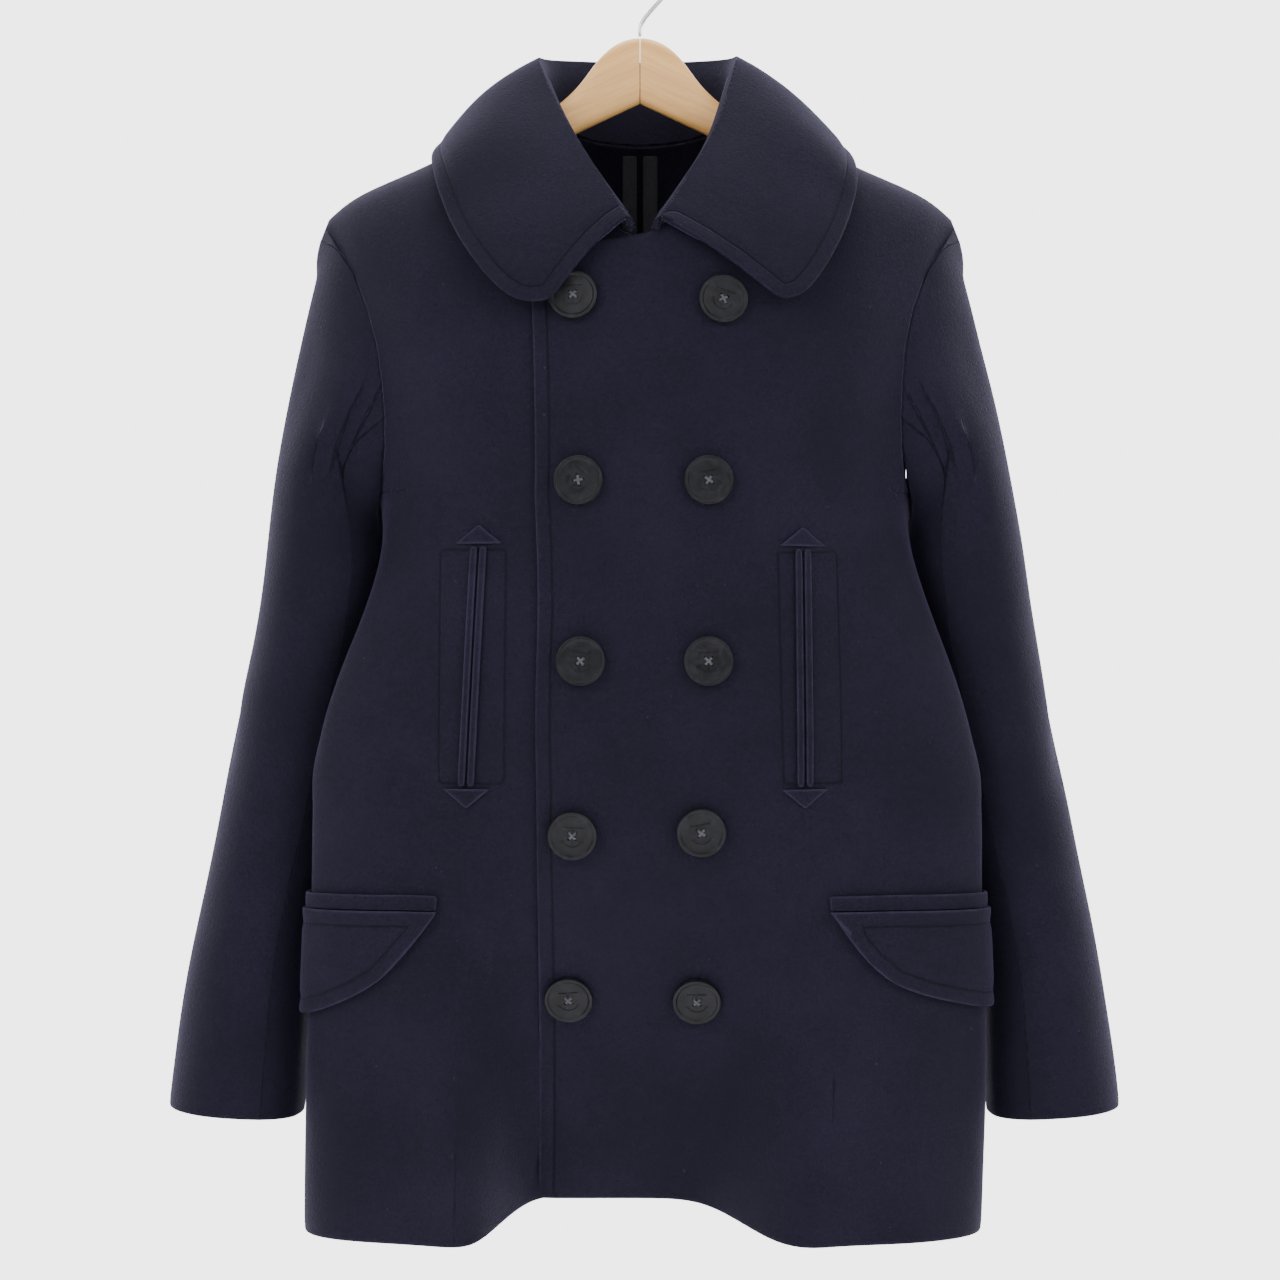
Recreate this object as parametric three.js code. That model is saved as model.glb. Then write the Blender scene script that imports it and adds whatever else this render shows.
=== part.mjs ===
// A double-breasted pea coat hanging on a two-part wooden hanger with a wire hook.
// Millimetres, +Z up, the front of the coat faces -Y, and the origin is the inner top of the hook.
import * as THREE from "three";
import { mergeVertices } from "three/addons/utils/BufferGeometryUtils.js";

// Driving dimensions
const clothThickness = 3;
const collarThickness = 5;
const flapThickness = 4.5;
const weltThickness = 2.4;
const seamGap = 0.3;
const layerGap = 1.2;
const overlapEdge = 78;
const armpitHeight = -400;
const hemHeight = -933;
const lowerRows = 12;
const sleeveRows = 15;
const buttonDiameter = 34.5;
const buttonHeight = 5.4;
const hookWire = 3.4;
const hookInnerRadius = 19;
const headTop = -60;

// Colours
const melton = { color: 0x1b1b29, roughness: 0.95, metalness: 0 };
const binding = { color: 0x2a2933, roughness: 0.8, metalness: 0 };
const horn = { color: 0x15151a, roughness: 0.4, metalness: 0 };
const beech = { color: 0xd9a968, roughness: 0.45, metalness: 0 };
const steel = { color: 0xb9bcc0, roughness: 0.25, metalness: 1 };

// Named columns for a short table of rows
function table(names, rows) {
  const keys = names.split(" ");
  return rows.map((row) => Object.fromEntries(keys.map((key, index) => [key, row[index]])));
}

// Body sections, from the neck point down: half width, depths, squareness and the side's forward bulge
const bodySections = table("z halfWidth front back squareFront squareBack bulge shift", [
  [-117, 78, 44, 50, 1.8, 1.8, 0, 0],
  [-137, 121, 60, 64, 1.8, 1.8, 0, 0],
  [-158, 164, 74, 74, 1.8, 1.8, 0, 0],
  [-172, 197, 82, 79, 1.8, 1.8, 0, 0],
  [-180, 212, 86, 82, 1.8, 1.8, 0, 0],
  [-189, 224, 90, 85, 1.8, 1.8, 0, 0],
  [-200, 233, 95, 88, 1.8, 1.8, 0, 0],
  [-211, 236, 99, 90, 1.85, 1.85, 0, 0],
  [-246, 233, 106, 96, 2, 2, 0, 0],
  [-290, 224, 112, 100, 2.2, 2.1, 0, 1],
  [-340, 211, 116, 102, 2.4, 2.2, 0, 2],
  [-400, 194, 118, 100, 2.6, 2.2, 2, 3],
  [-437, 188, 119, 98, 2.7, 2.2, 12, 5],
  [-480, 190, 120, 96, 2.9, 2.2, 25, 6],
  [-517, 197, 121, 95, 3, 2.2, 35, 5],
  [-560, 205, 122, 94, 3, 2.2, 42, 4],
  [-600, 214, 123, 93, 3, 2.3, 42, 5],
  [-660, 224, 124, 92, 3, 2.3, 33, 5],
  [-700, 230, 124, 91, 3, 2.4, 27, 5],
  [-764, 238, 122, 90, 3, 2.4, 21, 5],
  [-844, 245, 120, 88, 3, 2.5, 12, 4],
  [-933, 248, 118, 86, 3, 2.6, 5, 2],
]);

// Centre front leaning back below the fourth button row, between two forward lobes
const frontRecess = table("z depth leftOut leftIn rightIn rightOut", [
  [-560, 0, -200, -60, 50, 190],
  [-640, 8, -190, -62, 48, 185],
  [-700, 28, -178, -66, 44, 176],
  [-760, 54, -162, -70, 40, 160],
  [-840, 78, -140, -74, 36, 136],
  [-933, 98, -122, -77, 31, 112],
]);

// Soft folds of the front and back: a ridge has a height above zero, a trough below
const folds = table("side zTop xTop zBottom xBottom height halfWidth", [
  [-1, -770, -146, -990, -124, 8, 20],
  [-1, -690, 146, -990, 110, 9, 20],
  [-1, -600, -150, -740, -196, -4, 18],
  [-1, -600, 160, -770, 200, -4, 18],
  [-1, -250, -150, -420, -128, 3, 26],
  [-1, -260, 156, -440, 132, 3, 26],
  [1, -260, -110, -990, -150, 7, 34],
  [1, -280, 118, -990, 142, 7, 32],
  [1, -520, -30, -990, -52, -6, 30],
  [1, -600, 44, -990, 66, -5, 28],
]);

// Overlap, neckline and shoulder of a front, to the shoulder point, and where each column meets the hem
const frontTop = table("x z hem", [
  [-78, -226, -78],
  [-52, -224.5, -52],
  [-26, -222.5, -26],
  [0, -220, 0],
  [18, -212, 26],
  [42, -187, 52],
  [60, -157, 78],
  [72, -132, 97],
  [79, -117, 115],
  [96, -124.4, 133],
  [115, -133, 150],
  [134, -142.2, 167],
  [153, -151.5, 183],
  [172, -160.4, 198],
  [190, -168, 212],
  [206, -175.7, 225],
  [220, -184, 237],
  [231, -195, 245],
  [238, -211, 248],
]);

// Neckline and shoulder of a back, from the centre seam to the shoulder point
const backTop = table("x z hem", [
  [0, -133, 0],
  [20, -132.3, 22],
  [40, -129.5, 44],
  [58, -125, 65],
  [70, -120.5, 85],
  [79, -117, 104],
  [96, -124.4, 122],
  [115, -133, 140],
  [134, -142.2, 158],
  [153, -151.5, 175],
  [172, -160.4, 192],
  [190, -168, 208],
  [206, -175.7, 223],
  [220, -184, 236],
  [231, -195, 245],
  [238, -211, 248],
]);

// Armhole edges from the shoulder point down to the armpit; each row is also a row of the panels
const armholes = table("z front back", [
  [-211, 238, 238],
  [-218, 222, 226],
  [-238, 208, 214],
  [-266, 197, 206],
  [-295, 190, 202],
  [-322, 187, 199.5],
  [-346, 185.5, 198],
  [-367, 186, 196.5],
  [-383, 188, 195],
  [-393.5, 191, 194.2],
  [-398, 193, 194],
  [-400, 194, 194],
]);

// Sleeve sections, with the inner side above the armpit lying inside the body
const sleeveSections = table("z outer inner depth middle square", [
  [-211, 236, 150, 70, 0, 2],
  [-250, 246, 136, 104, 0, 2],
  [-300, 257, 128, 130, 2, 2],
  [-343, 265, 156, 146, 5, 2.1],
  [-372, 270, 198, 152, 8, 2.2],
  [-400, 275, 195, 154, 12, 2.3],
  [-437, 280, 188.5, 156, 16, 2.4],
  [-475, 286, 191.5, 156, 22, 2.4],
  [-517, 294, 199, 152, 28, 2.4],
  [-560, 303, 208, 150, 29, 2.3],
  [-600, 310, 217.5, 148, 27, 2.3],
  [-660, 322, 228.5, 145, 21, 2.3],
  [-700, 329, 240, 142, 15, 2.3],
  [-764, 341, 248, 138, 8, 2.3],
  [-800, 346, 250, 136, 4, 2.3],
  [-852, 352, 252, 134, 0, 2.3],
]);

// Collar stations round the neck from the left front end to the right front end
const collarStations = table("seamX seamY seamZ rollX rollY rollZ edgeX edgeY edgeZ bow", [
  [-4, -104.5, -218, -7, -110, -209, -62, -124, -266, 3],
  [-9, -102.5, -215, -9.5, -106, -204, -79, -124, -268, 4],
  [-18, -99, -210, -14, -100, -196, -97, -120, -260, 6],
  [-42, -87, -185, -27, -82, -172, -118, -106, -236, 9],
  [-60, -67, -155, -43, -60, -144, -137, -84, -204, 10],
  [-71, -39, -130, -58, -30, -114, -149, -58, -168, 9],
  [-77.5, 0, -118.5, -70, 5, -81, -154, 6, -144, 7],
  [-66, 30, -124, -66, 40, -76, -142, 56, -152, 8],
  [-40, 52, -132, -42, 62, -73, -88, 88, -165, 9],
  [0, 61, -135.5, 0, 73, -72, 0, 100, -170, 9],
  [40, 52, -132, 42, 62, -73, 90, 88, -165, 9],
  [66, 30, -124, 64, 40, -75, 144, 56, -152, 8],
  [77.5, 0, -118.5, 66, 5, -80, 156, 8, -146, 7],
  [71, -39, -130, 58, -30, -113, 157, -56, -170, 9],
  [60, -67, -155, 47, -60, -146, 152, -76, -196, 10],
  [42, -87, -185, 32, -82, -173, 142, -96, -222, 9],
  [20, -98, -209, 20, -98, -196, 128, -110, -246, 6],
  [13, -102.5, -215, 14.5, -105, -204, 114, -119, -262, 4],
  [9, -104.5, -218, 12, -110, -209, 98, -121, -266, 3],
]);

// Button centres, row by row
const buttonPlaces = table("name x z turn seat", [
  ["1_right", -46.5, -263, 4, 0.4],
  ["1_left", 57.8, -266, -20, 0.4],
  ["2_right", -42.8, -393, 35, 0.4],
  ["2_left", 47.7, -393, -12, 0.4],
  ["3_right", -41.4, -520, -6, 0.4],
  ["3_left", 47.7, -520, 8, 0.4],
  ["4_right", -47.3, -641, -10, -0.2],
  ["4_left", 43, -639, 14, -0.5],
  ["5_right", -51, -759, 0, 1.1],
  ["5_left", 41, -760, 0, 1.5],
]);

// Slash pocket lines on each front
const slashPockets = table("name topX topZ bottomX bottomZ seatInner seatOuter seatTop seatBottom", [
  ["right", -113.5, -439, -122.5, -608, 0.7, 0.7, 1.2, 0.6],
  ["left", 114, -441, 116, -608, 0.6, 0.8, 1, 0.7],
]);
const slashWeltWidth = 5.2;
const slashSlit = 1.4;
const arrowWidth = 34;
const arrowHeight = 13;

// Lower pocket flaps in degrees round the body: seam line above, outline below, tip to rear corner
const flapOutlines = {
  right: table("seam outline z", [
    [31, 31.5, -701],
    [35, 34.5, -716],
    [39, 38, -731],
    [44, 42, -746],
    [50, 48, -758],
    [56, 55, -767],
    [63, 62, -772],
    [70, 70, -773],
    [77, 79, -768],
    [84, 86, -757],
  ]),
  left: table("seam outline z", [
    [25, 25.5, -699],
    [30, 28.5, -716],
    [35, 32, -733],
    [41, 37, -748],
    [47, 44, -757],
    [54, 52, -763],
    [61, 60, -767],
    [69, 70, -768],
    [77, 79, -764],
    [84, 86, -754],
  ]),
};
const flapSeamHeight = -697;
const flapSeat = 1.8;
const pocketWeltHeight = 11;

// Half of the hanger, from the middle joint to the rounded shoulder end
const hangerSections = table("x top bottom depth middle", [
  [0.15, -60, -110.5, 15, 0],
  [8, -60.6, -114, 15, 0],
  [17, -64, -118.3, 15, 0],
  [25, -70, -122, 15.5, 0],
  [32, -77.5, -125.3, 16, 0],
  [38, -86, -128, 17, 0],
  [46, -97, -131.6, 18, 0],
  [60, -110, -138.5, 20, 0],
  [80, -123.2, -149, 24, 0],
  [110, -136.6, -163, 29, 0],
  [145, -153.6, -180, 35, 0],
  [175, -167.6, -194, 39, -1],
  [196, -178.6, -204, 38, -2],
  [207, -187, -206, 26, -2],
]);

// Smooth value of one column of a table at a height
function sample(rows, key, at, by = "z") {
  const falling = rows[0][by] > rows[rows.length - 1][by];
  const inside = (row) => (falling ? row[by] < at : row[by] > at);
  let upper = rows.findIndex(inside);
  if (upper === 0) return rows[0][key];
  if (upper < 0) return rows[rows.length - 1][key];
  const low = upper - 1;
  const span = rows[upper][by] - rows[low][by];
  const t = (at - rows[low][by]) / span;
  const slope = (index) => {
    const a = rows[Math.max(index - 1, 0)];
    const b = rows[Math.min(index + 1, rows.length - 1)];
    return (b[key] - a[key]) / (b[by] - a[by]);
  };
  const tangentLow = slope(low) * span;
  const tangentHigh = slope(upper) * span;
  const p0 = rows[low][key];
  const p1 = rows[upper][key];
  const t2 = t * t;
  const t3 = t2 * t;
  return (2 * t3 - 3 * t2 + 1) * p0 + (t3 - 2 * t2 + t) * tangentLow
    + (3 * t2 - 2 * t3) * p1 + (t3 - t2) * tangentHigh;
}

function soft(t) {
  const c = Math.min(1, Math.max(0, t));
  return c * c * (3 - 2 * c);
}

function signedPower(value, power) {
  return Math.sign(value) * Math.pow(Math.abs(value), power);
}

// Share of the centre recess at a place on the front
function recessShare(x, z) {
  const at = (key) => sample(frontRecess, key, z);
  const fromLeft = soft((x - at("leftOut")) / (at("leftIn") - at("leftOut")));
  const fromRight = soft((at("rightOut") - x) / (at("rightOut") - at("rightIn")));
  return fromLeft * fromRight;
}

function foldLift(side, x, z) {
  let lift = 0;
  for (const fold of folds) {
    if (fold.side !== side || z > fold.zTop || z < fold.zBottom) continue;
    const along = (fold.zTop - z) / (fold.zTop - fold.zBottom);
    const middle = fold.xTop + (fold.xBottom - fold.xTop) * along;
    const across = (x - middle) / fold.halfWidth;
    lift += fold.height * Math.sin(Math.PI * along) * Math.exp(-across * across);
  }
  return lift;
}

// Point of the coat's outer form: angle 0 is the centre front, +90 degrees the image right side
function bodyPoint(angle, z) {
  const at = (key) => sample(bodySections, key, z);
  const front = Math.abs(angle) < Math.PI / 2;
  const power = 2 / (front ? at("squareFront") : at("squareBack"));
  const fullness = Math.exp(-Math.pow((Math.abs(angle) - 1.08) / 0.32, 2));
  let x = at("halfWidth") * signedPower(Math.sin(angle), power);
  x += Math.sign(angle) * at("bulge") * fullness;
  const depth = front ? at("front") : at("back");
  let y = -depth * signedPower(Math.cos(angle), power);
  const facing = Math.min(1, Math.abs(Math.cos(angle)) * 2.5);
  const side = front ? -1 : 1;
  y += side * foldLift(side, x, z) * facing;
  if (front && z < frontRecess[0].z) y += sample(frontRecess, "depth", z) * recessShare(x, z) * facing;
  return new THREE.Vector3(x + at("shift"), y, z);
}

function bodyNormal(angle, z) {
  const da = 0.02;
  const dz = 1.5;
  const across = bodyPoint(angle + da, z).sub(bodyPoint(angle - da, z));
  const down = bodyPoint(angle, z - dz).sub(bodyPoint(angle, Math.min(z + dz, -117)));
  return down.cross(across).normalize();
}

// Angle whose point lies at a given x on the front
function angleAt(x, z) {
  const shift = sample(bodySections, "shift", z);
  const goal = Math.abs(x - shift);
  let low = 0;
  let high = Math.PI / 2;
  for (let step = 0; step < 30; step++) {
    const mid = (low + high) / 2;
    const reached = Math.abs(bodyPoint(mid, z).x - shift);
    if (reached < goal) low = mid;
    else high = mid;
  }
  return (Math.sign(x - shift || 1) * (low + high)) / 2;
}

// Extra height of the outer front where it laps over the other one
function overlapLift(x, z) {
  return (clothThickness + layerGap) * soft((128 - x) / 36) * soft((-150 - z) / 60);
}

function clothPoint(angle, z, lift) {
  return bodyPoint(angle, z).addScaledVector(bodyNormal(angle, z), lift);
}

// Height of the hem below a place on the coat
function hemAt(x, back) {
  if (back) return hemHeight + 11 * soft(1 - Math.abs(x) / 235);
  return hemHeight + 21 * recessShare(x, hemHeight);
}

// Angle of a panel column at a height: under its top point at first, then spread evenly to the hem
function columnAngle(top, z, mirror, back) {
  const shoulderPoint = armholes[0];
  const side = back ? "back" : "front";
  const reachTop = shoulderPoint[side];
  const width = sample(bodySections, "halfWidth", z);
  const inArmhole = z < shoulderPoint.z && z > armpitHeight;
  const reach = z < shoulderPoint.z ? sample(armholes, side, z) : reachTop;
  const power = sample(bodySections, back ? "squareBack" : "squareFront", z) / 2;
  const angleOf = (share) => Math.asin(Math.pow(Math.min(1, share), power));
  const squeeze = 1 - (1 - reach / reachTop) * Math.pow(top.x / reachTop, 2);
  const topAngle = angleOf((Math.abs(top.x) * squeeze) / width);
  const hemWidth = bodySections[bodySections.length - 1].halfWidth;
  const share = Math.abs(top.hem) / hemWidth;
  const held = share * Math.pow(width / hemWidth, Math.pow(share, 3) - 1);
  const edge = inArmhole ? angleOf(reach / width) / (Math.PI / 2) : 1;
  const lowAngle = angleOf(held) * (1 - (1 - edge) * share * share);
  const blend = soft((top.z - z) / 300);
  const angle = topAngle + (lowAngle - topAngle) * blend;
  const sign = (Math.sign(top.hem) || 1) * mirror;
  return sign * (back ? Math.PI - angle : angle);
}

// Panel of the body as rows of surface places: the armhole's rows, then level ones down to the hem
function panelPlaces(tops, mirror, back) {
  const upperRows = armholes.length - 1;
  const armholeDrop = armpitHeight - armholes[0].z;
  const rows = [];
  for (let row = 0; row <= upperRows + lowerRows; row++) {
    rows.push(tops.map((top) => {
      const hem = hemAt(top.hem * mirror, back);
      const along = row < upperRows ? (armholes[row].z - armholes[0].z) / armholeDrop : 1;
      const above = top.z + (armpitHeight - top.z) * along;
      const below = armpitHeight + ((hem - armpitHeight) * (row - upperRows)) / lowerRows;
      const z = row < upperRows ? above : below;
      return { angle: columnAngle(top, z, mirror, back), z };
    }));
  }
  return rows;
}

// Closed wall between an outer and an inner grid of points
function wallGeometry(outer, inner, ring = false) {
  const rows = outer.length;
  const columns = outer[0].length;
  const positions = [];
  for (const grid of [outer, inner]) {
    for (const row of grid) row.forEach((p) => positions.push(p.x, p.y, p.z));
  }
  const id = (layer, row, column) => (layer * rows + row) * columns + (column % columns);
  const faces = [];
  const quad = (a, b, c, d) => faces.push(a, b, c, a, c, d);
  const lastColumn = ring ? columns : columns - 1;
  for (let row = 0; row < rows - 1; row++) {
    for (let column = 0; column < lastColumn; column++) {
      quad(id(0, row, column), id(0, row + 1, column), id(0, row + 1, column + 1), id(0, row, column + 1));
      quad(id(1, row, column), id(1, row, column + 1), id(1, row + 1, column + 1), id(1, row + 1, column));
    }
  }
  for (let column = 0; column < lastColumn; column++) {
    quad(id(0, 0, column), id(0, 0, column + 1), id(1, 0, column + 1), id(1, 0, column));
    const next = column + 1;
    quad(id(0, rows - 1, column), id(1, rows - 1, column), id(1, rows - 1, next), id(0, rows - 1, next));
  }
  if (!ring) {
    for (let row = 0; row < rows - 1; row++) {
      quad(id(0, row, 0), id(1, row, 0), id(1, row + 1, 0), id(0, row + 1, 0));
      const last = columns - 1;
      quad(id(0, row, last), id(0, row + 1, last), id(1, row + 1, last), id(1, row, last));
    }
  }
  return facingOut(positions, faces);
}

// Turns the faces round if the body would have a negative volume
function facingOut(positions, faces) {
  const corner = (index) => new THREE.Vector3().fromArray(positions, index * 3);
  let volume = 0;
  for (let face = 0; face < faces.length; face += 3) {
    const [a, b, c] = [corner(faces[face]), corner(faces[face + 1]), corner(faces[face + 2])];
    volume += a.dot(b.cross(c));
  }
  if (volume < 0) faces.reverse();
  const geometry = new THREE.BufferGeometry();
  geometry.setAttribute("position", new THREE.Float32BufferAttribute(positions, 3));
  geometry.setIndex(faces);
  geometry.computeVertexNormals();
  return geometry;
}

// Moves the border points of a grid inwards by half a seam gap
function drawnIn(grid, sides) {
  const step = seamGap / 2;
  const toward = (p, q) => p.clone().add(q.clone().sub(p).setLength(step));
  const last = grid.length - 1;
  let result = grid.map((row) => row.map((p) => p.clone()));
  if (sides.includes("top")) result[0] = grid[0].map((p, column) => toward(p, grid[1][column]));
  const above = grid[last - 1];
  if (sides.includes("bottom")) result[last] = grid[last].map((p, column) => toward(p, above[column]));
  const edge = grid[0].length - 1;
  result = result.map((row, index) => {
    const moved = [...row];
    if (sides.includes("first")) moved[0] = toward(row[0], result[index][1]);
    if (sides.includes("last")) moved[edge] = toward(row[edge], result[index][edge - 1]);
    return moved;
  });
  return result;
}

// Wall of a piece that follows the body, between two heights over its surface
function bodyWall(places, liftOf, thickness, sides = []) {
  const grid = (below) => drawnIn(places.map((row) => row.map((place) => {
    const lift = liftOf(bodyPoint(place.angle, place.z).x, place.z) - below;
    return clothPoint(place.angle, place.z, lift);
  })), sides);
  return wallGeometry(grid(0), grid(thickness));
}

const coat = new THREE.Group();

function addPiece(name, geometry, finish) {
  const mesh = new THREE.Mesh(geometry, new THREE.MeshStandardMaterial(finish));
  mesh.name = name;
  coat.add(mesh);
  return mesh;
}

// Fronts and backs
const noLift = () => 0;

function addFronts() {
  const outer = panelPlaces(frontTop, 1, false);
  addPiece("front_left", bodyWall(outer, overlapLift, clothThickness, ["top", "last"]), melton);
  const under = panelPlaces(frontTop, -1, false);
  addPiece("front_right", bodyWall(under, noLift, clothThickness, ["top", "last"]), melton);
}

function addBacks() {
  for (const [name, mirror] of [["left", 1], ["right", -1]]) {
    const places = panelPlaces(backTop, mirror, true);
    const wall = bodyWall(places, noLift, clothThickness, ["top", "first", "last"]);
    addPiece(`back_${name}`, wall, melton);
  }
}

// Bound edges of the centre-back seam, on the inner face of the backs
function addSeamBindings() {
  const width = 11;
  const inset = 2.5;
  const thickness = 1;
  for (const [name, mirror] of [["left", 1], ["right", -1]]) {
    const tops = [inset, inset + width].map((x) => ({ x, z: -137, hem: x }));
    const places = panelPlaces(tops, mirror, true);
    const below = () => -clothThickness - 0.9;
    addPiece(`seam_binding_${name}`, bodyWall(places, below, thickness), binding);
  }
}

// Sleeves: a ring of columns from the armhole down to the cuff
function sleevePoint(turn, z, mirror) {
  const at = (key) => sample(sleeveSections, key, z);
  const power = 2 / at("square");
  const middle = (at("outer") + at("inner")) / 2;
  const half = (at("outer") - at("inner")) / 2;
  const x = middle + half * signedPower(Math.cos(turn), power);
  const y = at("middle") - (at("depth") / 2) * signedPower(Math.sin(turn), power);
  const follow = 0.85 - 0.15 * Math.cos(turn);
  return new THREE.Vector3(x * mirror + sample(bodySections, "shift", z) * follow, y, z);
}

// Armhole points in order: shoulder, front edge, armpit, back edge, each with its turn round the sleeve
function armholePoints(mirror) {
  const edge = (tops, back) => armholes.map((row) => {
    const angle = columnAngle(tops[tops.length - 1], row.z, mirror, back);
    return bodyPoint(angle, row.z);
  });
  const turned = (points) => {
    const reached = [0];
    for (let i = 1; i < points.length; i++) {
      reached.push(reached[i - 1] + points[i].distanceTo(points[i - 1]));
    }
    const whole = reached[reached.length - 1];
    return points.map((point, i) => ({ point, turn: (Math.PI * reached[i]) / whole }));
  };
  const front = turned(edge(frontTop, false));
  const rear = turned(edge(backTop, true)).slice(1, -1).reverse();
  return [...front, ...rear.map(({ point, turn }) => ({ point, turn: Math.PI * 2 - turn }))];
}

function cuffHeight(turn) {
  return -849 - 4 * Math.cos(turn - Math.PI);
}

function sleeveGrid(mirror) {
  const loop = armholePoints(mirror);
  const rows = [];
  for (let row = 0; row <= sleeveRows; row++) {
    rows.push(loop.map(({ point: start, turn }) => {
      const z = start.z + (cuffHeight(turn) - start.z) * Math.pow(row / sleeveRows, 1.25);
      const miss = start.clone().sub(sleevePoint(turn, start.z, mirror));
      const settle = 45 + 85 * soft((Math.abs(turn - Math.PI) / Math.PI - 0.2) / 0.45);
      const kept = 1 - soft((start.z - z) / settle);
      const underarm = 1 - soft((Math.abs(turn - Math.PI) / Math.PI - 0.12) / 0.4);
      const clear = underarm * (row === 0 ? 1 : 4 * (1 - soft((start.z - z) / 110)));
      const away = new THREE.Vector3(0.75 * mirror, -0.65 * Math.sin(turn), 0);
      return sleevePoint(turn, z, mirror).addScaledVector(miss, kept).addScaledVector(away, clear);
    }));
  }
  return rows;
}

// Inner face of a ring of points, moved in along the ring's own normals
function ringInner(grid, thickness, mirror) {
  const count = grid[0].length;
  const last = grid.length - 1;
  return grid.map((row, r) => row.map((p, c) => {
    const across = row[(c + 1) % count].clone().sub(row[(c + count - 1) % count]);
    const down = grid[Math.min(r + 1, last)][c].clone().sub(grid[Math.max(r - 1, 0)][c]);
    const normal = across.cross(down).normalize();
    return p.clone().addScaledVector(normal, -thickness * mirror);
  }));
}

function addSleeves() {
  const frontSeam = 6;
  for (const [name, mirror] of [["left", 1], ["right", -1]]) {
    const outer = sleeveGrid(mirror);
    const inner = ringInner(outer, clothThickness, mirror);
    const count = outer[0].length;
    const backSeam = count - frontSeam;
    const strip = (grid, from, to) => grid.map((row) => {
      const cut = [];
      for (let column = from; column <= to; column++) cut.push(row[column % count]);
      return cut;
    });
    const sides = ["top", "first", "last"];
    const piece = (from, to) => wallGeometry(
      drawnIn(strip(outer, from, to), sides),
      drawnIn(strip(inner, from, to), sides),
    );
    addPiece(`sleeve_top_${name}`, piece(backSeam, frontSeam + count), melton);
    addPiece(`sleeve_under_${name}`, piece(frontSeam, backSeam), melton);
  }
}

// Collar: the stand rises to the roll line and the leaf falls over it
function collarSection(station) {
  const seam = new THREE.Vector3(station.seamX, station.seamY, station.seamZ);
  const roll = new THREE.Vector3(station.rollX, station.rollY, station.rollZ);
  const edge = new THREE.Vector3(station.edgeX, station.edgeY, station.edgeZ);
  const outward = edge.clone().sub(roll);
  const rollWidth = Math.min(12, seam.distanceTo(roll) * 0.6);
  const start = outward.clone().setZ(0).normalize();
  const up = new THREE.Vector3(0, 0, 1);
  const across = new THREE.Vector3().crossVectors(outward, up).normalize();
  const proud = new THREE.Vector3().crossVectors(across, outward).normalize();
  const shoulder = roll.clone().addScaledVector(start, rollWidth);
  const fall = (t) => shoulder.clone().lerp(edge, t)
    .addScaledVector(proud, station.bow * Math.sin(Math.PI * Math.pow(t, 0.8)));
  const rise = (collarThickness / 2 + 1) / seam.distanceTo(roll);
  const stand = (t) => seam.clone().lerp(roll, rise + (1 - rise) * t);
  const crown = roll.clone().addScaledVector(start, rollWidth / 2).setZ(roll.z + rollWidth * 0.32);
  return [stand(0), stand(0.45), stand(0.86), crown, fall(0.06), fall(0.3), fall(0.55), fall(0.8), fall(1)];
}

function addCollar() {
  const perStation = 2;
  const keys = Object.keys(collarStations[0]);
  const spans = collarStations.length - 1;
  const numbered = collarStations.map((station, index) => ({ ...station, index }));
  const columns = [];
  for (let step = 0; step <= spans * perStation; step++) {
    const at = step / perStation;
    const blended = Object.fromEntries(keys.map((key) => [key, sample(numbered, key, at, "index")]));
    columns.push(collarSection(blended));
  }
  const middle = columns[0].map((_, row) => columns.map((column) => column[row]));
  const count = middle[0].length;
  const last = middle.length - 1;
  const layer = (offset) => middle.map((row, r) => row.map((p, c) => {
    const across = row[Math.min(c + 1, count - 1)].clone().sub(row[Math.max(c - 1, 0)]);
    const down = middle[Math.min(r + 1, last)][c].clone().sub(middle[Math.max(r - 1, 0)][c]);
    return p.clone().addScaledVector(down.cross(across).normalize(), offset);
  }));
  const half = collarThickness / 2;
  addPiece("collar", wallGeometry(layer(half), layer(-half)), melton);
}

// Pieces that lie on the fronts, made from the front's own points moved out
function frontPlace(x, z) {
  return { angle: angleAt(x, z), z };
}

function layOn(name, grid, thickness, seat) {
  const rise = (x, z) => overlapRise(x, z) + seat + thickness;
  addPiece(name, bodyWall(grid, rise, thickness), melton);
}

function overlapRise(x, z) {
  return x > -overlapEdge ? overlapLift(x, z) : 0;
}

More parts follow.
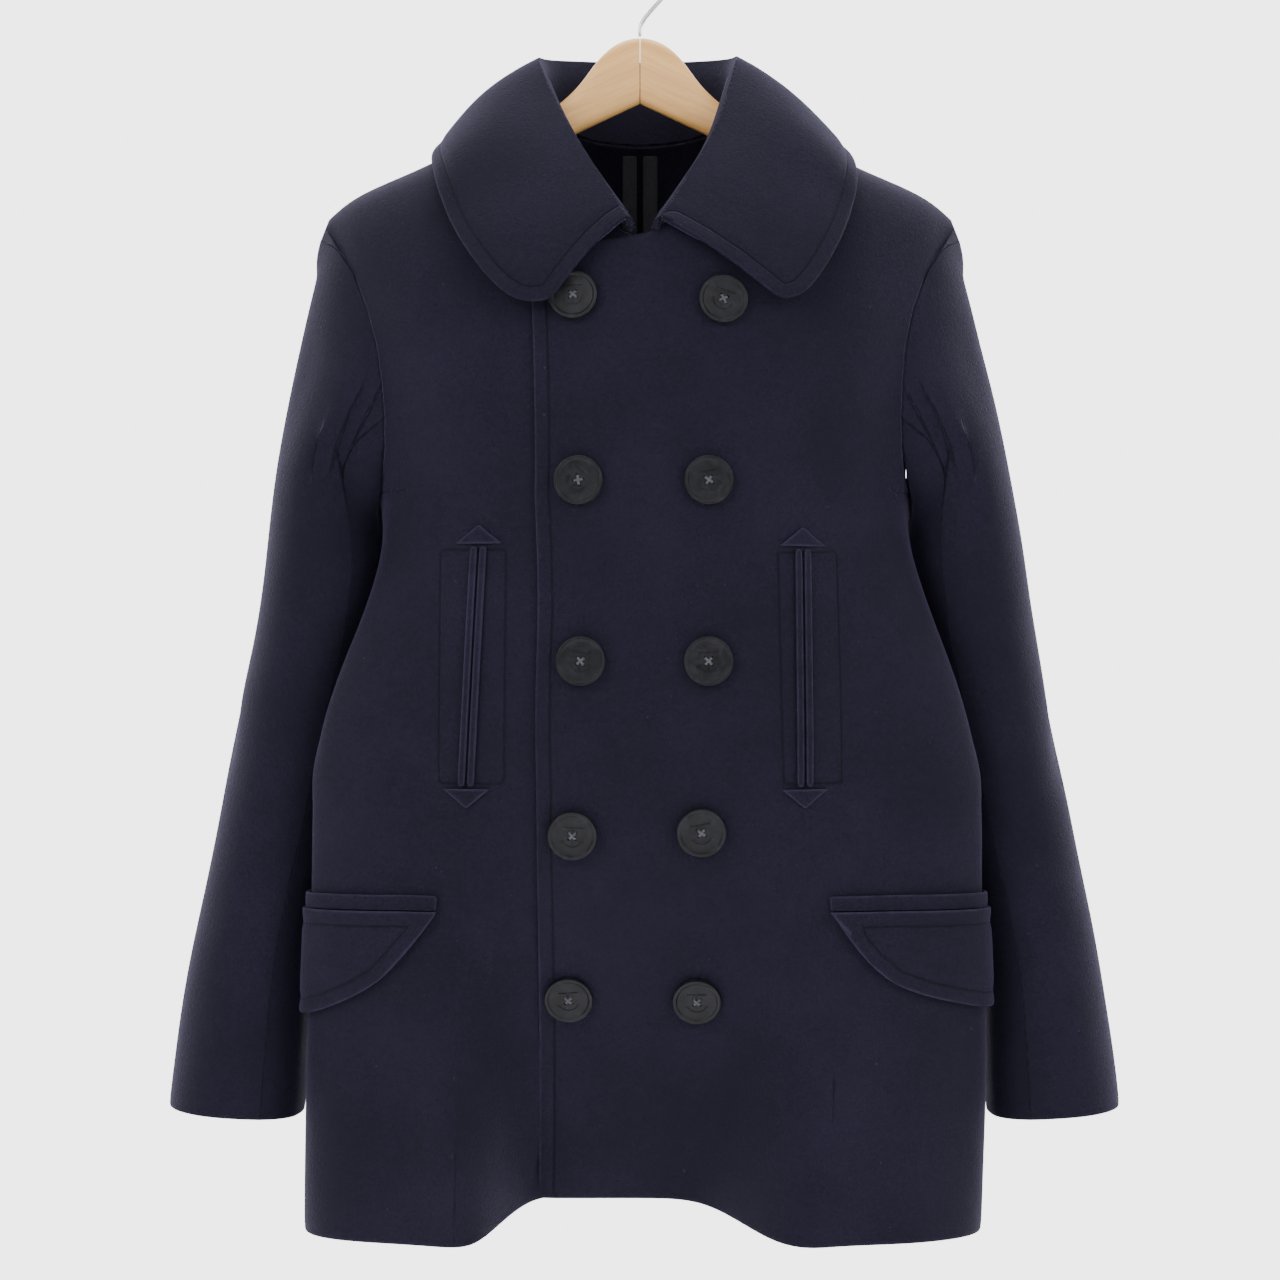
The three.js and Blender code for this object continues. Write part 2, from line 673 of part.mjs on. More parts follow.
function addSlashPocket(pocket) {
  const rows = 7;
  const along = (t) => ({
    x: pocket.topX + (pocket.bottomX - pocket.topX) * t,
    z: pocket.topZ + (pocket.bottomZ - pocket.topZ) * t,
  });
  const outward = Math.sign(pocket.topX);
  const welts = [["inner", -outward, pocket.seatInner], ["outer", outward, pocket.seatOuter]];
  for (const [side, sign, seat] of welts) {
    const grid = [];
    for (let row = 0; row <= rows; row++) {
      const { x, z } = along(row / rows);
      const near = x + (sign * slashSlit) / 2;
      const far = near + sign * slashWeltWidth;
      grid.push([near, far].sort((a, b) => a - b).map((at) => frontPlace(at, z)));
    }
    layOn(`slash_welt_${pocket.name}_${side}`, grid, weltThickness, seat);
  }
  for (const [end, t, up, seat] of [["top", 0, 1, pocket.seatTop], ["bottom", 1, -1, pocket.seatBottom]]) {
    const { x, z } = along(t);
    const base = z + up * 2;
    const apex = base + up * arrowHeight;
    const half = arrowWidth / 2;
    const line = (height, reach) => [-1, -0.5, 0, 0.5, 1].map((k) => frontPlace(x + k * reach, height));
    const grid = [line(apex, 1.2), line((apex + base) / 2, half / 2), line(base, half)];
    if (up < 0) grid.reverse();
    layOn(`slash_arrow_${pocket.name}_${end}`, grid, 1.2, seat);
  }
}

function addLowerPocket(name, outline) {
  const rows = 5;
  const sign = name === "left" ? 1 : -1;
  const place = (degrees, z) => ({ angle: sign * THREE.MathUtils.degToRad(degrees), z });
  const grid = [];
  for (let row = 0; row <= rows; row++) {
    const t = row / rows;
    grid.push(outline.map((station) => place(
      station.seam + (station.outline - station.seam) * t,
      flapSeamHeight + (station.z - flapSeamHeight) * t,
    )));
  }
  layOn(`pocket_flap_${name}`, grid, flapThickness, flapSeat);
  const edges = [flapSeamHeight + 0.6 + pocketWeltHeight, flapSeamHeight + 0.6];
  const strip = edges.map((z) => outline.map((station) => place(station.seam, z)));
  layOn(`pocket_welt_${name}`, strip, weltThickness, flapSeat);
}

// Buttons: a dished disc with a raised rim, seated on the highest cloth under the rim
function addButtons() {
  const radius = buttonDiameter / 2;
  const profile = [
    [0, 0], [radius - 2, 0], [radius, 2.6], [radius - 0.8, buttonHeight],
    [radius - 3.4, buttonHeight - 0.1], [radius - 4.6, buttonHeight - 1.2], [0, buttonHeight - 1.2],
  ].map(([x, y]) => new THREE.Vector2(x, y));
  for (const place of buttonPlaces) {
    const rim = [];
    for (let step = 0; step < 16; step++) {
      const turn = (step / 16) * Math.PI * 2;
      const x = place.x + Math.cos(turn) * radius;
      const z = place.z + Math.sin(turn) * radius;
      rim.push(bodyPoint(angleAt(x, z), z));
    }
    const across = rim[0].clone().sub(rim[8]);
    const up = rim[4].clone().sub(rim[12]);
    const normal = across.cross(up).normalize();
    const base = bodyPoint(angleAt(place.x, place.z), place.z);
    const highest = Math.max(0, ...rim.map((point) => point.sub(base).dot(normal)));
    const lift = overlapRise(place.x, place.z) + highest + place.seat;
    const disc = new THREE.LatheGeometry(profile, 16);
    const button = addPiece(`button_${place.name}`, disc, horn);
    button.position.copy(base.addScaledVector(normal, lift));
    button.quaternion.setFromUnitVectors(new THREE.Vector3(0, 1, 0), normal);
    button.rotateY(THREE.MathUtils.degToRad(place.turn));
  }
}

// Hanger: two carved halves that meet in the middle, and the hook between them
function addHanger() {
  const around = 12;
  for (const [name, mirror] of [["left", 1], ["right", -1]]) {
    const positions = [];
    const faces = [];
    for (const section of hangerSections) {
      const middle = (section.top + section.bottom) / 2;
      const half = (section.top - section.bottom) / 2;
      const power = 0.7 + 0.3 * soft((section.x - 40) / 35);
      for (let step = 0; step < around; step++) {
        const turn = (step / around) * Math.PI * 2;
        const y = section.middle + (section.depth / 2) * signedPower(Math.cos(turn), power);
        positions.push(section.x * mirror, y, middle + half * signedPower(Math.sin(turn), power));
      }
    }
    const last = hangerSections.length - 1;
    for (let ring = 0; ring < last; ring++) {
      for (let step = 0; step < around; step++) {
        const next = (step + 1) % around;
        const [a, b] = [ring * around + step, ring * around + next];
        faces.push(a, b, b + around, a, b + around, a + around);
      }
    }
    for (let step = 1; step < around - 1; step++) {
      faces.push(0, step + 1, step);
      const end = last * around;
      faces.push(end, end + step, end + step + 1);
    }
    addPiece(`hanger_${name}`, facingOut(positions, faces), beech);
  }
}

function addHook() {
  const radius = hookInnerRadius + hookWire / 2;
  const centre = new THREE.Vector3(0, 0, -hookInnerRadius);
  const points = [new THREE.Vector3(0, 0, headTop + seamGap)];
  points.push(new THREE.Vector3(0, 0, headTop + 8));
  const steps = 16;
  for (let step = 0; step <= steps; step++) {
    const turn = THREE.MathUtils.degToRad(-52 + (250 * step) / steps);
    points.push(new THREE.Vector3(Math.cos(turn), 0, Math.sin(turn)).multiplyScalar(radius).add(centre));
  }
  const path = new THREE.CatmullRomCurve3(points, false, "centripetal");
  const ring = new THREE.Shape();
  ring.absarc(0, 0, hookWire / 2, 0, Math.PI * 2);
  const drawn = { steps: 26, curveSegments: 4, extrudePath: path, bevelEnabled: false };
  const wire = new THREE.ExtrudeGeometry(ring, drawn);
  wire.deleteAttribute("uv");
  wire.deleteAttribute("normal");
  addPiece("hook", mergeVertices(wire, 1e-4), steel);
}

addFronts();
addBacks();
addSeamBindings();
addSleeves();
addCollar();
slashPockets.forEach(addSlashPocket);
Object.entries(flapOutlines).forEach(([name, outline]) => addLowerPocket(name, outline));
addButtons();
addHanger();
addHook();

export default coat;
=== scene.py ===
import math

import bmesh
import bpy
import numpy as np
from mathutils import Matrix, Vector
from mathutils.bvhtree import BVHTree
from mathutils.kdtree import KDTree


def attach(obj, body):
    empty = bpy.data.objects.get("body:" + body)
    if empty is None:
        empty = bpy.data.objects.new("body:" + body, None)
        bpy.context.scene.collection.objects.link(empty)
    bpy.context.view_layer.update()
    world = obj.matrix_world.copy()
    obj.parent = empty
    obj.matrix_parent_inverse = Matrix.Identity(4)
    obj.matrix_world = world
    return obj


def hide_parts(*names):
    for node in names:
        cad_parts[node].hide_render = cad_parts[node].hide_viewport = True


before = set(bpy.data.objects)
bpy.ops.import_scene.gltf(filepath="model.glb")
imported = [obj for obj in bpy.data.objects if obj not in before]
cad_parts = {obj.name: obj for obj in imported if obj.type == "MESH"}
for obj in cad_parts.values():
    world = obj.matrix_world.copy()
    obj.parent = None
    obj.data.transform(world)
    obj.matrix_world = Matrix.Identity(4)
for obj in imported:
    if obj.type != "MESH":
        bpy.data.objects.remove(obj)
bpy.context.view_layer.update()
mm = 0.001


def rowsOf(names, rows):
    keys = names.split()
    return [dict(zip(keys, row)) for row in rows]


# camera, floor and light, in mm
cameraPlace = {"distance": 2460, "height": -505, "lens": 93.74}
floorPlace = {"height": -1180, "behind": 1500, "front": -3600, "radius": 900, "top": 2600, "side": 4200,
              "steps": 12, "grey": 0.93, "glow": 0.62, "disc": 1000, "above": 2}
skyStrength = 0.75
wallStrength = 4.0
lamps = rowsOf("name x y z size power warmth", [
    ["keyLeft", -1500, -1900, 700, 1500, 40, 1.0],
    ["keyRight", 1650, -1800, 500, 1500, 30, 1.0],
    ["front", 0, -3000, 900, 1800, 14, 1.0],
    ["rimLeft", -1500, 700, 200, 1200, 30, 0.97],
    ["rimRight", 1500, 700, 200, 1200, 30, 0.97],
    ["overhead", 0, 100, 1300, 1400, 34, 1.0],
])


def deselect():
    for thing in bpy.context.selected_objects:
        thing.select_set(False)


def makeActive(thing):
    deselect()
    thing.select_set(True)
    bpy.context.view_layer.objects.active = thing


def lookAt(thing, target):
    direction = Vector(target) - thing.location
    thing.rotation_euler = direction.to_track_quat("-Z", "Y").to_euler()


def makeCamera():
    bpy.ops.object.camera_add(location=(0, -cameraPlace["distance"] * mm, cameraPlace["height"] * mm))
    camera = bpy.context.object
    camera.name = "camera"
    camera.rotation_euler = (math.pi / 2, 0, 0)
    camera.data.lens = cameraPlace["lens"]
    camera.data.sensor_width = 36
    camera.data.clip_start = 0.05
    camera.data.clip_end = 30
    bpy.context.scene.camera = camera


def makeStage():
    place = floorPlace
    paper = bpy.data.materials.new("studioPaper")
    paper.use_nodes = True
    shader = paper.node_tree.nodes["Principled BSDF"]
    shader.inputs["Base Color"].default_value = (place["grey"], place["grey"], place["grey"], 1)
    shader.inputs["Roughness"].default_value = 0.9
    shader.inputs["Emission Color"].default_value = (1, 1, 1, 1)
    shader.inputs["Emission Strength"].default_value = place["glow"]

    deselect()
    bpy.ops.mesh.primitive_circle_add(vertices=128, radius=place["disc"] * mm, fill_type="NGON",
                                      location=(0, 0, (place["height"] + place["above"]) * mm))
    bpy.ops.object.transform_apply(location=True, rotation=True, scale=True)
    floor = bpy.context.object
    floor.name = "floor"

    # a curved sheet round the back that throws light on the coat, and hides it from no camera
    profile = [(place["front"], place["height"])]
    for step in range(place["steps"] + 1):
        turn = math.pi / 2 * step / place["steps"]
        profile.append((place["behind"] - place["radius"] + math.sin(turn) * place["radius"],
                        place["height"] + place["radius"] * (1 - math.cos(turn))))
    profile.append((place["behind"], place["top"]))
    points = [(side * place["side"] * mm, y * mm, z * mm) for y, z in profile for side in (-1, 1)]
    faces = [(2 * i, 2 * i + 1, 2 * i + 3, 2 * i + 2) for i in range(len(profile) - 1)]
    mesh = bpy.data.meshes.new("reflector")
    mesh.from_pydata(points, [], faces)
    reflector = bpy.data.objects.new("reflector", mesh)
    bpy.context.scene.collection.objects.link(reflector)
    reflector.visible_camera = False
    makeActive(reflector)
    bpy.ops.object.shade_smooth()
    for thing in (floor, reflector):
        thing.data.materials.append(paper)


def makeLight():
    world = bpy.data.worlds.new("studio")
    bpy.context.scene.world = world
    world.use_nodes = True
    tree = world.node_tree
    sky = tree.nodes["Background"]  # what lights the coat
    wall = tree.nodes.new("ShaderNodeBackground")  # the plain pale wall behind it, from every side
    for node, strength in ((sky, skyStrength), (wall, wallStrength)):
        node.inputs["Color"].default_value = (1, 1, 1, 1)
        node.inputs["Strength"].default_value = strength
    seen = tree.nodes.new("ShaderNodeLightPath")
    choice = tree.nodes.new("ShaderNodeMixShader")
    tree.links.new(seen.outputs["Is Camera Ray"], choice.inputs[0])
    tree.links.new(sky.outputs[0], choice.inputs[1])
    tree.links.new(wall.outputs[0], choice.inputs[2])
    tree.links.new(choice.outputs[0], tree.nodes["World Output"].inputs["Surface"])
    for lamp in lamps:
        bpy.ops.object.light_add(type="AREA", location=(lamp["x"] * mm, lamp["y"] * mm, lamp["z"] * mm))
        light = bpy.context.object
        light.name = lamp["name"]
        light.data.shape = "DISK"
        light.data.size = lamp["size"] * mm
        light.data.energy = lamp["power"]
        light.data.color = (1, lamp["warmth"], lamp["warmth"])
        lookAt(light, (0, 0, -0.5))


# materials
class Nodes:  # short words for the node tree of one material
    def __init__(self, name):
        self.material = bpy.data.materials.new(name)
        self.material.use_nodes = True
        self.tree = self.material.node_tree
        self.shader = self.tree.nodes["Principled BSDF"]
        coordinates = self.add("ShaderNodeTexCoord")
        self.place = coordinates.outputs["Object"]

    def add(self, kind, **values):
        node = self.tree.nodes.new(kind)
        for key, value in values.items():
            setattr(node, key, value)
        return node

    def join(self, source, target):
        self.tree.links.new(source, target)

    def mapping(self, scale=(1, 1, 1), turn=(0, 0, 0), source=None):
        node = self.add("ShaderNodeMapping")
        node.inputs["Scale"].default_value = scale
        node.inputs["Rotation"].default_value = turn
        self.join(source or self.place, node.inputs["Vector"])
        return node.outputs["Vector"]

    def noise(self, scale, detail=2, rough=0.5, distortion=0.0, source=None):
        node = self.add("ShaderNodeTexNoise")
        node.inputs["Scale"].default_value = scale
        node.inputs["Detail"].default_value = detail
        node.inputs["Roughness"].default_value = rough
        node.inputs["Distortion"].default_value = distortion
        self.join(source or self.place, node.inputs["Vector"])
        return node.outputs["Fac"]

    def ramp(self, value, stops):
        node = self.add("ShaderNodeValToRGB")
        while len(node.color_ramp.elements) < len(stops):
            node.color_ramp.elements.new(0.5)
        for element, (place, color) in zip(node.color_ramp.elements, stops):
            element.position = place
            element.color = (*color, 1)
        self.join(value, node.inputs["Fac"])
        return node.outputs["Color"]

    def math(self, operation, first, second=None, third=None):
        node = self.add("ShaderNodeMath", operation=operation)
        for index, value in enumerate((first, second, third)):
            if value is None:
                continue
            if isinstance(value, (int, float)):
                node.inputs[index].default_value = value
            else:
                self.join(value, node.inputs[index])
        return node.outputs["Value"]

    def mix(self, blend, factor, first, second):
        node = self.add("ShaderNodeMix", data_type="RGBA", blend_type=blend)
        for socket, value in ((node.inputs[0], factor), (node.inputs[6], first), (node.inputs[7], second)):
            if isinstance(value, (int, float)):
                socket.default_value = value
            elif isinstance(value, tuple):
                socket.default_value = (*value, 1)
            else:
                self.join(value, socket)
        return node.outputs[2]

    def bump(self, height, distance, strength=1.0, below=None):
        node = self.add("ShaderNodeBump")
        node.inputs["Strength"].default_value = strength
        node.inputs["Distance"].default_value = distance
        self.join(height, node.inputs["Height"])
        if below is not None:
            self.join(below, node.inputs["Normal"])
        return node.outputs["Normal"]

    def attribute(self, name):
        node = self.add("ShaderNodeAttribute", attribute_name=name)
        return node.outputs["Fac"]

    def fixed(self, **values):
        for key, value in values.items():
            self.shader.inputs[key.replace("_", " ")].default_value = value


meltonLook = {
    "dark": (0.0026, 0.0022, 0.0060),
    "mid": (0.0060, 0.0051, 0.0128),
    "light": (0.0165, 0.0145, 0.0320),
    "fibreScale": 1500,
    "napScale": 420,
    "cloudScale": 11,
    "sheen": 0.105,
    "sheenRoughness": 0.27,
    "sheenTint": (0.55, 0.50, 1.0, 1),
}


def pulse(nodes, value, centre, halfWidth):
    # 1 on a line at the centre value, falling smoothly to 0
    away = nodes.math("ABSOLUTE", nodes.math("SUBTRACT", value, centre))
    share = nodes.math("DIVIDE", away, halfWidth)
    node = nodes.add("ShaderNodeMapRange", interpolation_type="SMOOTHERSTEP", clamp=True)
    nodes.join(share, node.inputs["Value"])
    for key, number in (("From Min", 0), ("From Max", 1), ("To Min", 1), ("To Max", 0)):
        node.inputs[key].default_value = number
    return node.outputs["Result"]


def makeMelton(name, look, stitched=True):
    nodes = Nodes(name)
    fibres = nodes.noise(look["fibreScale"], 3, 0.65, 1.4)
    slant = nodes.noise(1, 3, 0.6, 0.8, nodes.mapping((1900, 1900, 420), (0.5, 0.3, 0.9)))
    nap = nodes.noise(look["napScale"], 3, 0.6, 0.6)
    cloud = nodes.noise(look["cloudScale"], 3, 0.55)
    tone = nodes.math("MULTIPLY_ADD", fibres, 0.42, nodes.math("MULTIPLY_ADD", slant, 0.26,
                      nodes.math("MULTIPLY_ADD", nap, 0.22, nodes.math("MULTIPLY", cloud, 0.16))))
    color = nodes.ramp(tone, [(0.36, look["dark"]), (0.53, look["mid"]), (0.74, look["light"])])
    lint = nodes.ramp(nodes.noise(260, 1, 0.4), [(0.79, (0, 0, 0)), (0.83, (1, 1, 1))])
    color = nodes.mix("MIX", nodes.math("MULTIPLY", lint, 0.10), color, (0.16, 0.16, 0.22))
    height = nodes.math("MULTIPLY_ADD", fibres, 0.6, nodes.math("MULTIPLY", slant, 0.4))
    normal = nodes.bump(height, 0.0007, 0.55)
    normal = nodes.bump(nap, 0.0016, 0.42, normal)
    if stitched:
        edge = nodes.attribute("edgeLine")
        pocket = nodes.attribute("pocketLine")
        line = nodes.math("MAXIMUM", pulse(nodes, edge, look["stitchIn"], 1.5), pulse(nodes, pocket, 0, 1.5))
        # painted shade: the cloth colour is darkened along the topstitch and pocket-stitch lines, as shade in their
        # grooves
        color = nodes.mix("MULTIPLY", nodes.math("MULTIPLY", line, 0.55), color, (0.25, 0.25, 0.28))
        normal = nodes.bump(nodes.math("MULTIPLY", line, -1), 0.0009, 0.8, normal)
        seam = pulse(nodes, nodes.attribute("seamLine"), 0, 1.6)
        # painted shade: the cloth colour is darkened along the sewn seams, as shade in the seam's groove
        color = nodes.mix("MULTIPLY", nodes.math("MULTIPLY", seam, 0.7), color, (0.2, 0.2, 0.25))
        normal = nodes.bump(nodes.math("MULTIPLY", seam, -1), 0.0012, 0.9, normal)
        # painted highlight: the cloth colour is lightened and made bluer along the free edges, as grazing light from
        # the pale surroundings brightens them
        rim = pulse(nodes, nodes.attribute("rimLine"), 0, 2.4)
        color = nodes.mix("SCREEN", nodes.math("MULTIPLY", rim, 0.35), color, (0.03, 0.03, 0.055))
    nodes.join(color, nodes.shader.inputs["Base Color"])
    nodes.join(normal, nodes.shader.inputs["Normal"])
    nodes.fixed(Roughness=0.92, Sheen_Weight=look["sheen"], Sheen_Roughness=look["sheenRoughness"],
                Sheen_Tint=look["sheenTint"], Specular_IOR_Level=0.12)
    return nodes.material


bindingLook = {"dark": (0.010, 0.010, 0.015), "light": (0.030, 0.029, 0.038)}


def makeBinding():
    nodes = Nodes("seamTape")
    warp = nodes.noise(1, 2, 0.5, 0, nodes.mapping((2600, 2600, 500)))
    weft = nodes.noise(1, 2, 0.5, 0, nodes.mapping((500, 500, 2600)))
    weave = nodes.math("MULTIPLY", warp, weft)
    color = nodes.ramp(weave, [(0.15, bindingLook["dark"]), (0.42, bindingLook["light"])])
    nodes.join(color, nodes.shader.inputs["Base Color"])
    nodes.join(nodes.bump(weave, 0.0004, 0.6), nodes.shader.inputs["Normal"])
    nodes.fixed(Roughness=0.72, Sheen_Weight=0.15, Sheen_Roughness=0.4)
    return nodes.material


buttonLook = {"deep": (0.003, 0.003, 0.004), "face": (0.008, 0.008, 0.011), "dust": (0.03, 0.03, 0.037)}


def makeButtonPlastic():
    nodes = Nodes("buttonPlastic")
    grain = nodes.noise(1900, 3, 0.6)
    marble = nodes.noise(120, 4, 0.6, 0.8)
    color = nodes.ramp(marble, [(0.3, buttonLook["deep"]), (0.62, buttonLook["face"])])
    worn = nodes.ramp(nodes.math("MULTIPLY", grain, marble), [(0.30, (0, 0, 0)), (0.46, (1, 1, 1))])
    color = nodes.mix("MIX", nodes.math("MULTIPLY", worn, 0.4), color, buttonLook["dust"])
    nodes.join(color, nodes.shader.inputs["Base Color"])
    rough = nodes.math("MULTIPLY_ADD", marble, 0.18, 0.30)
    nodes.join(rough, nodes.shader.inputs["Roughness"])
    nodes.join(nodes.bump(grain, 0.00012, 0.5), nodes.shader.inputs["Normal"])
    nodes.fixed(Specular_IOR_Level=0.15)
    return nodes.material


woodLook = {"pale": (0.70, 0.40, 0.135), "honey": (0.58, 0.30, 0.088), "line": (0.42, 0.19, 0.05)}


def makeWood():
    nodes = Nodes("hangerWood")
    # the grain runs along the arms, which slope down from the middle
    side = nodes.add("ShaderNodeSeparateXYZ")
    nodes.join(nodes.place, side.inputs["Vector"])
    slope = nodes.math("MULTIPLY", nodes.math("ABSOLUTE", side.outputs["X"]), 0.46)
    level = nodes.math("ADD", side.outputs["Z"], slope)
    along = nodes.add("ShaderNodeCombineXYZ")
    nodes.join(side.outputs["X"], along.inputs["X"])
    nodes.join(side.outputs["Y"], along.inputs["Y"])
    nodes.join(level, along.inputs["Z"])
    straight = along.outputs["Vector"]
    broad = nodes.noise(1, 3, 0.5, 0.3, nodes.mapping((9, 60, 75), source=straight))
    rings = nodes.noise(1, 4, 0.6, 0.5, nodes.mapping((14, 300, 420), source=straight))
    pores = nodes.noise(1, 2, 0.5, 0.2, nodes.mapping((90, 1500, 1900), source=straight))
    color = nodes.ramp(broad, [(0.32, woodLook["honey"]), (0.68, woodLook["pale"])])
    streaks = nodes.ramp(rings, [(0.44, (0, 0, 0)), (0.68, (1, 1, 1))])
    color = nodes.mix("MIX", nodes.math("MULTIPLY", streaks, 0.34), color, woodLook["line"])
    fine = nodes.ramp(pores, [(0.58, (0, 0, 0)), (0.70, (1, 1, 1))])
    color = nodes.mix("MIX", nodes.math("MULTIPLY", fine, 0.30), color, woodLook["line"])
    nodes.join(color, nodes.shader.inputs["Base Color"])
    nodes.join(nodes.bump(pores, 0.0002, 0.25), nodes.shader.inputs["Normal"])
    nodes.fixed(Roughness=0.42, Coat_Weight=0.25, Coat_Roughness=0.3)
    return nodes.material


def makeSteel():
    nodes = Nodes("hookSteel")
    drawn = nodes.noise(1, 2, 0.5, 0, nodes.mapping((900, 900, 90)))
    color = nodes.ramp(drawn, [(0.3, (0.42, 0.43, 0.45)), (0.7, (0.66, 0.67, 0.69))])
    nodes.join(color, nodes.shader.inputs["Base Color"])
    nodes.join(nodes.math("MULTIPLY_ADD", drawn, 0.15, 0.2), nodes.shader.inputs["Roughness"])
    nodes.fixed(Metallic=1.0)
    return nodes.material


def makeThread():
    nodes = Nodes("sewingThread")
    twist = nodes.noise(2600, 2, 0.5)
    color = nodes.ramp(twist, [(0.3, (0.008, 0.008, 0.014)), (0.7, (0.04, 0.039, 0.062))])
    nodes.join(color, nodes.shader.inputs["Base Color"])
    nodes.join(nodes.bump(twist, 0.0002, 0.5), nodes.shader.inputs["Normal"])
    nodes.fixed(Roughness=0.6, Sheen_Weight=0.3)
    return nodes.material


# cloth: each CAD wall is copied, smoothed, creased and stitched
# soft creases of the body in mm: side -1 is the front, height above 0 a ridge, below 0 a trough
bodyCreases = rowsOf("side x1 z1 x2 z2 bend height width", [
    [-1, -196, -560, -128, -640, 6, -3.2, 12],
    [-1, -190, -540, -150, -600, 3, 2.2, 11],
    [-1, -206, -660, -140, -672, -4, -2.6, 12],
    [-1, -150, -690, -112, -742, 3, -3.4, 9],
    [-1, -138, -706, -96, -720, 2, 2.4, 10],
    [-1, -108, -620, -84, -690, 4, -2.2, 12],
    [-1, -128, -742, -98, -830, -6, 3.4, 16],
    [-1, -112, -800, -106, -925, 3, 4.0, 15],
    [-1, -168, -800, -176, -930, 4, -3.6, 22],
    [-1, -206, -790, -214, -925, -3, 2.6, 18],
    [-1, 128, -690, 96, -740, -3, -3.2, 9],
    [-1, 136, -712, 104, -790, 2, 2.6, 11],
    [-1, 172, -560, 128, -640, -5, -2.8, 13],
    [-1, 196, -600, 150, -668, -4, -2.4, 12],
    [-1, 88, -760, 82, -925, 4, 3.8, 15],
    [-1, 128, -800, 146, -930, -5, -3.4, 22],
    [-1, 190, -790, 200, -925, 3, 2.8, 20],
    [-1, 20, -560, -30, -640, 4, -1.6, 16],
    [-1, 24, -700, -24, -722, -3, -1.8, 15],
    [-1, -10, -800, 12, -900, 3, 1.8, 18],
    [-1, -60, -430, -20, -470, 3, -1.2, 16],
    [-1, 60, -300, 30, -360, -3, -1.4, 18],
    [-1, -150, -260, -120, -330, 5, -2.0, 18],
    [-1, 160, -270, 126, -350, -5, -2.0, 18],
    [-1, -176, -330, -150, -420, 4, 1.8, 16],
    [-1, 176, -340, 150, -430, -4, 1.8, 16],
    [1, -160, -260, -110, -420, 8, -3.0, 20],
    [1, 150, -250, 108, -400, -8, -3.0, 20],
    [1, -190, -430, -120, -560, 8, -3.6, 16],
    [1, 186, -440, 128, -540, -7, -3.2, 16],
    [1, -70, -330, -84, -520, 5, 2.6, 24],
    [1, 66, -350, 82, -540, -5, 2.6, 24],
    [1, -120, -560, -150, -760, 6, 3.4, 24],
    [1, 112, -580, 146, -790, -6, 3.2, 24],
    [1, -40, -640, -56, -925, 5, -3.6, 24],
    [1, 44, -660, 64, -925, -5, -3.4, 24],
    [1, -180, -700, -196, -925, 4, -3.2, 20],
    [1, 176, -690, 198, -925, -4, -3.0, 20],
    [1, 6, -300, -10, -420, 3, -1.6, 16],
])

# soft creases of a sleeve: turn in degrees round it, 0 outside, 90 front, 180 at the body, 270 back
sleeveCreases = {
    "left": rowsOf("turn1 z1 turn2 z2 bend height width", [
        [150, -380, 100, -440, 4, -3.2, 13],
        [170, -420, 110, -520, 6, -3.0, 13],
        [120, -470, 60, -520, 5, 2.0, 16],
        [175, -540, 90, -600, 6, -3.4, 13],
        [165, -580, 80, -660, 5, -2.8, 13],
        [140, -650, 60, -700, -5, 2.2, 16],
        [180, -690, 120, -740, 4, -2.4, 12],
        [90, -720, 70, -830, 3, 2.2, 18],
        [40, -250, 60, -360, 4, -1.8, 18],
        [20, -560, 70, -620, -4, -2.2, 15],
        [300, -300, 260, -420, 6, -2.6, 18],
        [330, -520, 250, -590, 6, -3.0, 16],
        [320, -620, 240, -660, -5, -2.4, 14],
        [280, -700, 270, -830, 4, 2.2, 18],
        [350, -740, 330, -830, 3, -1.8, 16],
    ]),
    "right": rowsOf("turn1 z1 turn2 z2 bend height width", [
        [155, -390, 105, -450, 4, -3.0, 13],
        [175, -440, 100, -530, 6, -3.4, 13],
        [130, -500, 50, -540, 5, 2.2, 16],
        [170, -560, 95, -630, 6, -3.0, 13],
        [160, -610, 90, -680, 5, -2.6, 12],
        [120, -680, 70, -730, -5, 2.0, 15],
        [180, -720, 130, -760, 4, -2.2, 12],
        [100, -740, 80, -835, 3, 2.0, 18],
        [30, -260, 64, -380, 4, -2.0, 18],
        [10, -540, 60, -600, -4, -2.0, 15],
        [290, -320, 262, -440, 6, -2.6, 18],
        [325, -540, 248, -600, 6, -2.8, 16],
        [315, -640, 245, -690, -5, -2.4, 14],
        [275, -710, 262, -830, 4, 2.2, 18],
        [345, -720, 325, -820, 3, -1.8, 16],
    ]),
}

# middle line of a sleeve, in mm, for an arm on the +X side
sleeveLine = {
    "z": [-852, -800, -764, -700, -660, -600, -560, -517, -475, -437, -400, -343, -300, -250, -211],
    "x": [304.5, 300, 295.5, 285.5, 279.5, 268, 259.5, 250.5, 243.5, 240, 239.5, 222, 205, 196, 190],
    "y": [0, 4, 8, 15, 21, 27, 29, 28, 22, 16, 12, 5, 2, 0, 0],
}
sleeveRadius = 66

stitchLook = {"inset": 10.5, "cuff": 72, "pitch": 5.2, "length": 3.7, "width": 0.62, "grooveWidth": 4.2, "grooveDepth": 0.9}
meltonLook["stitchIn"] = stitchLook["inset"]


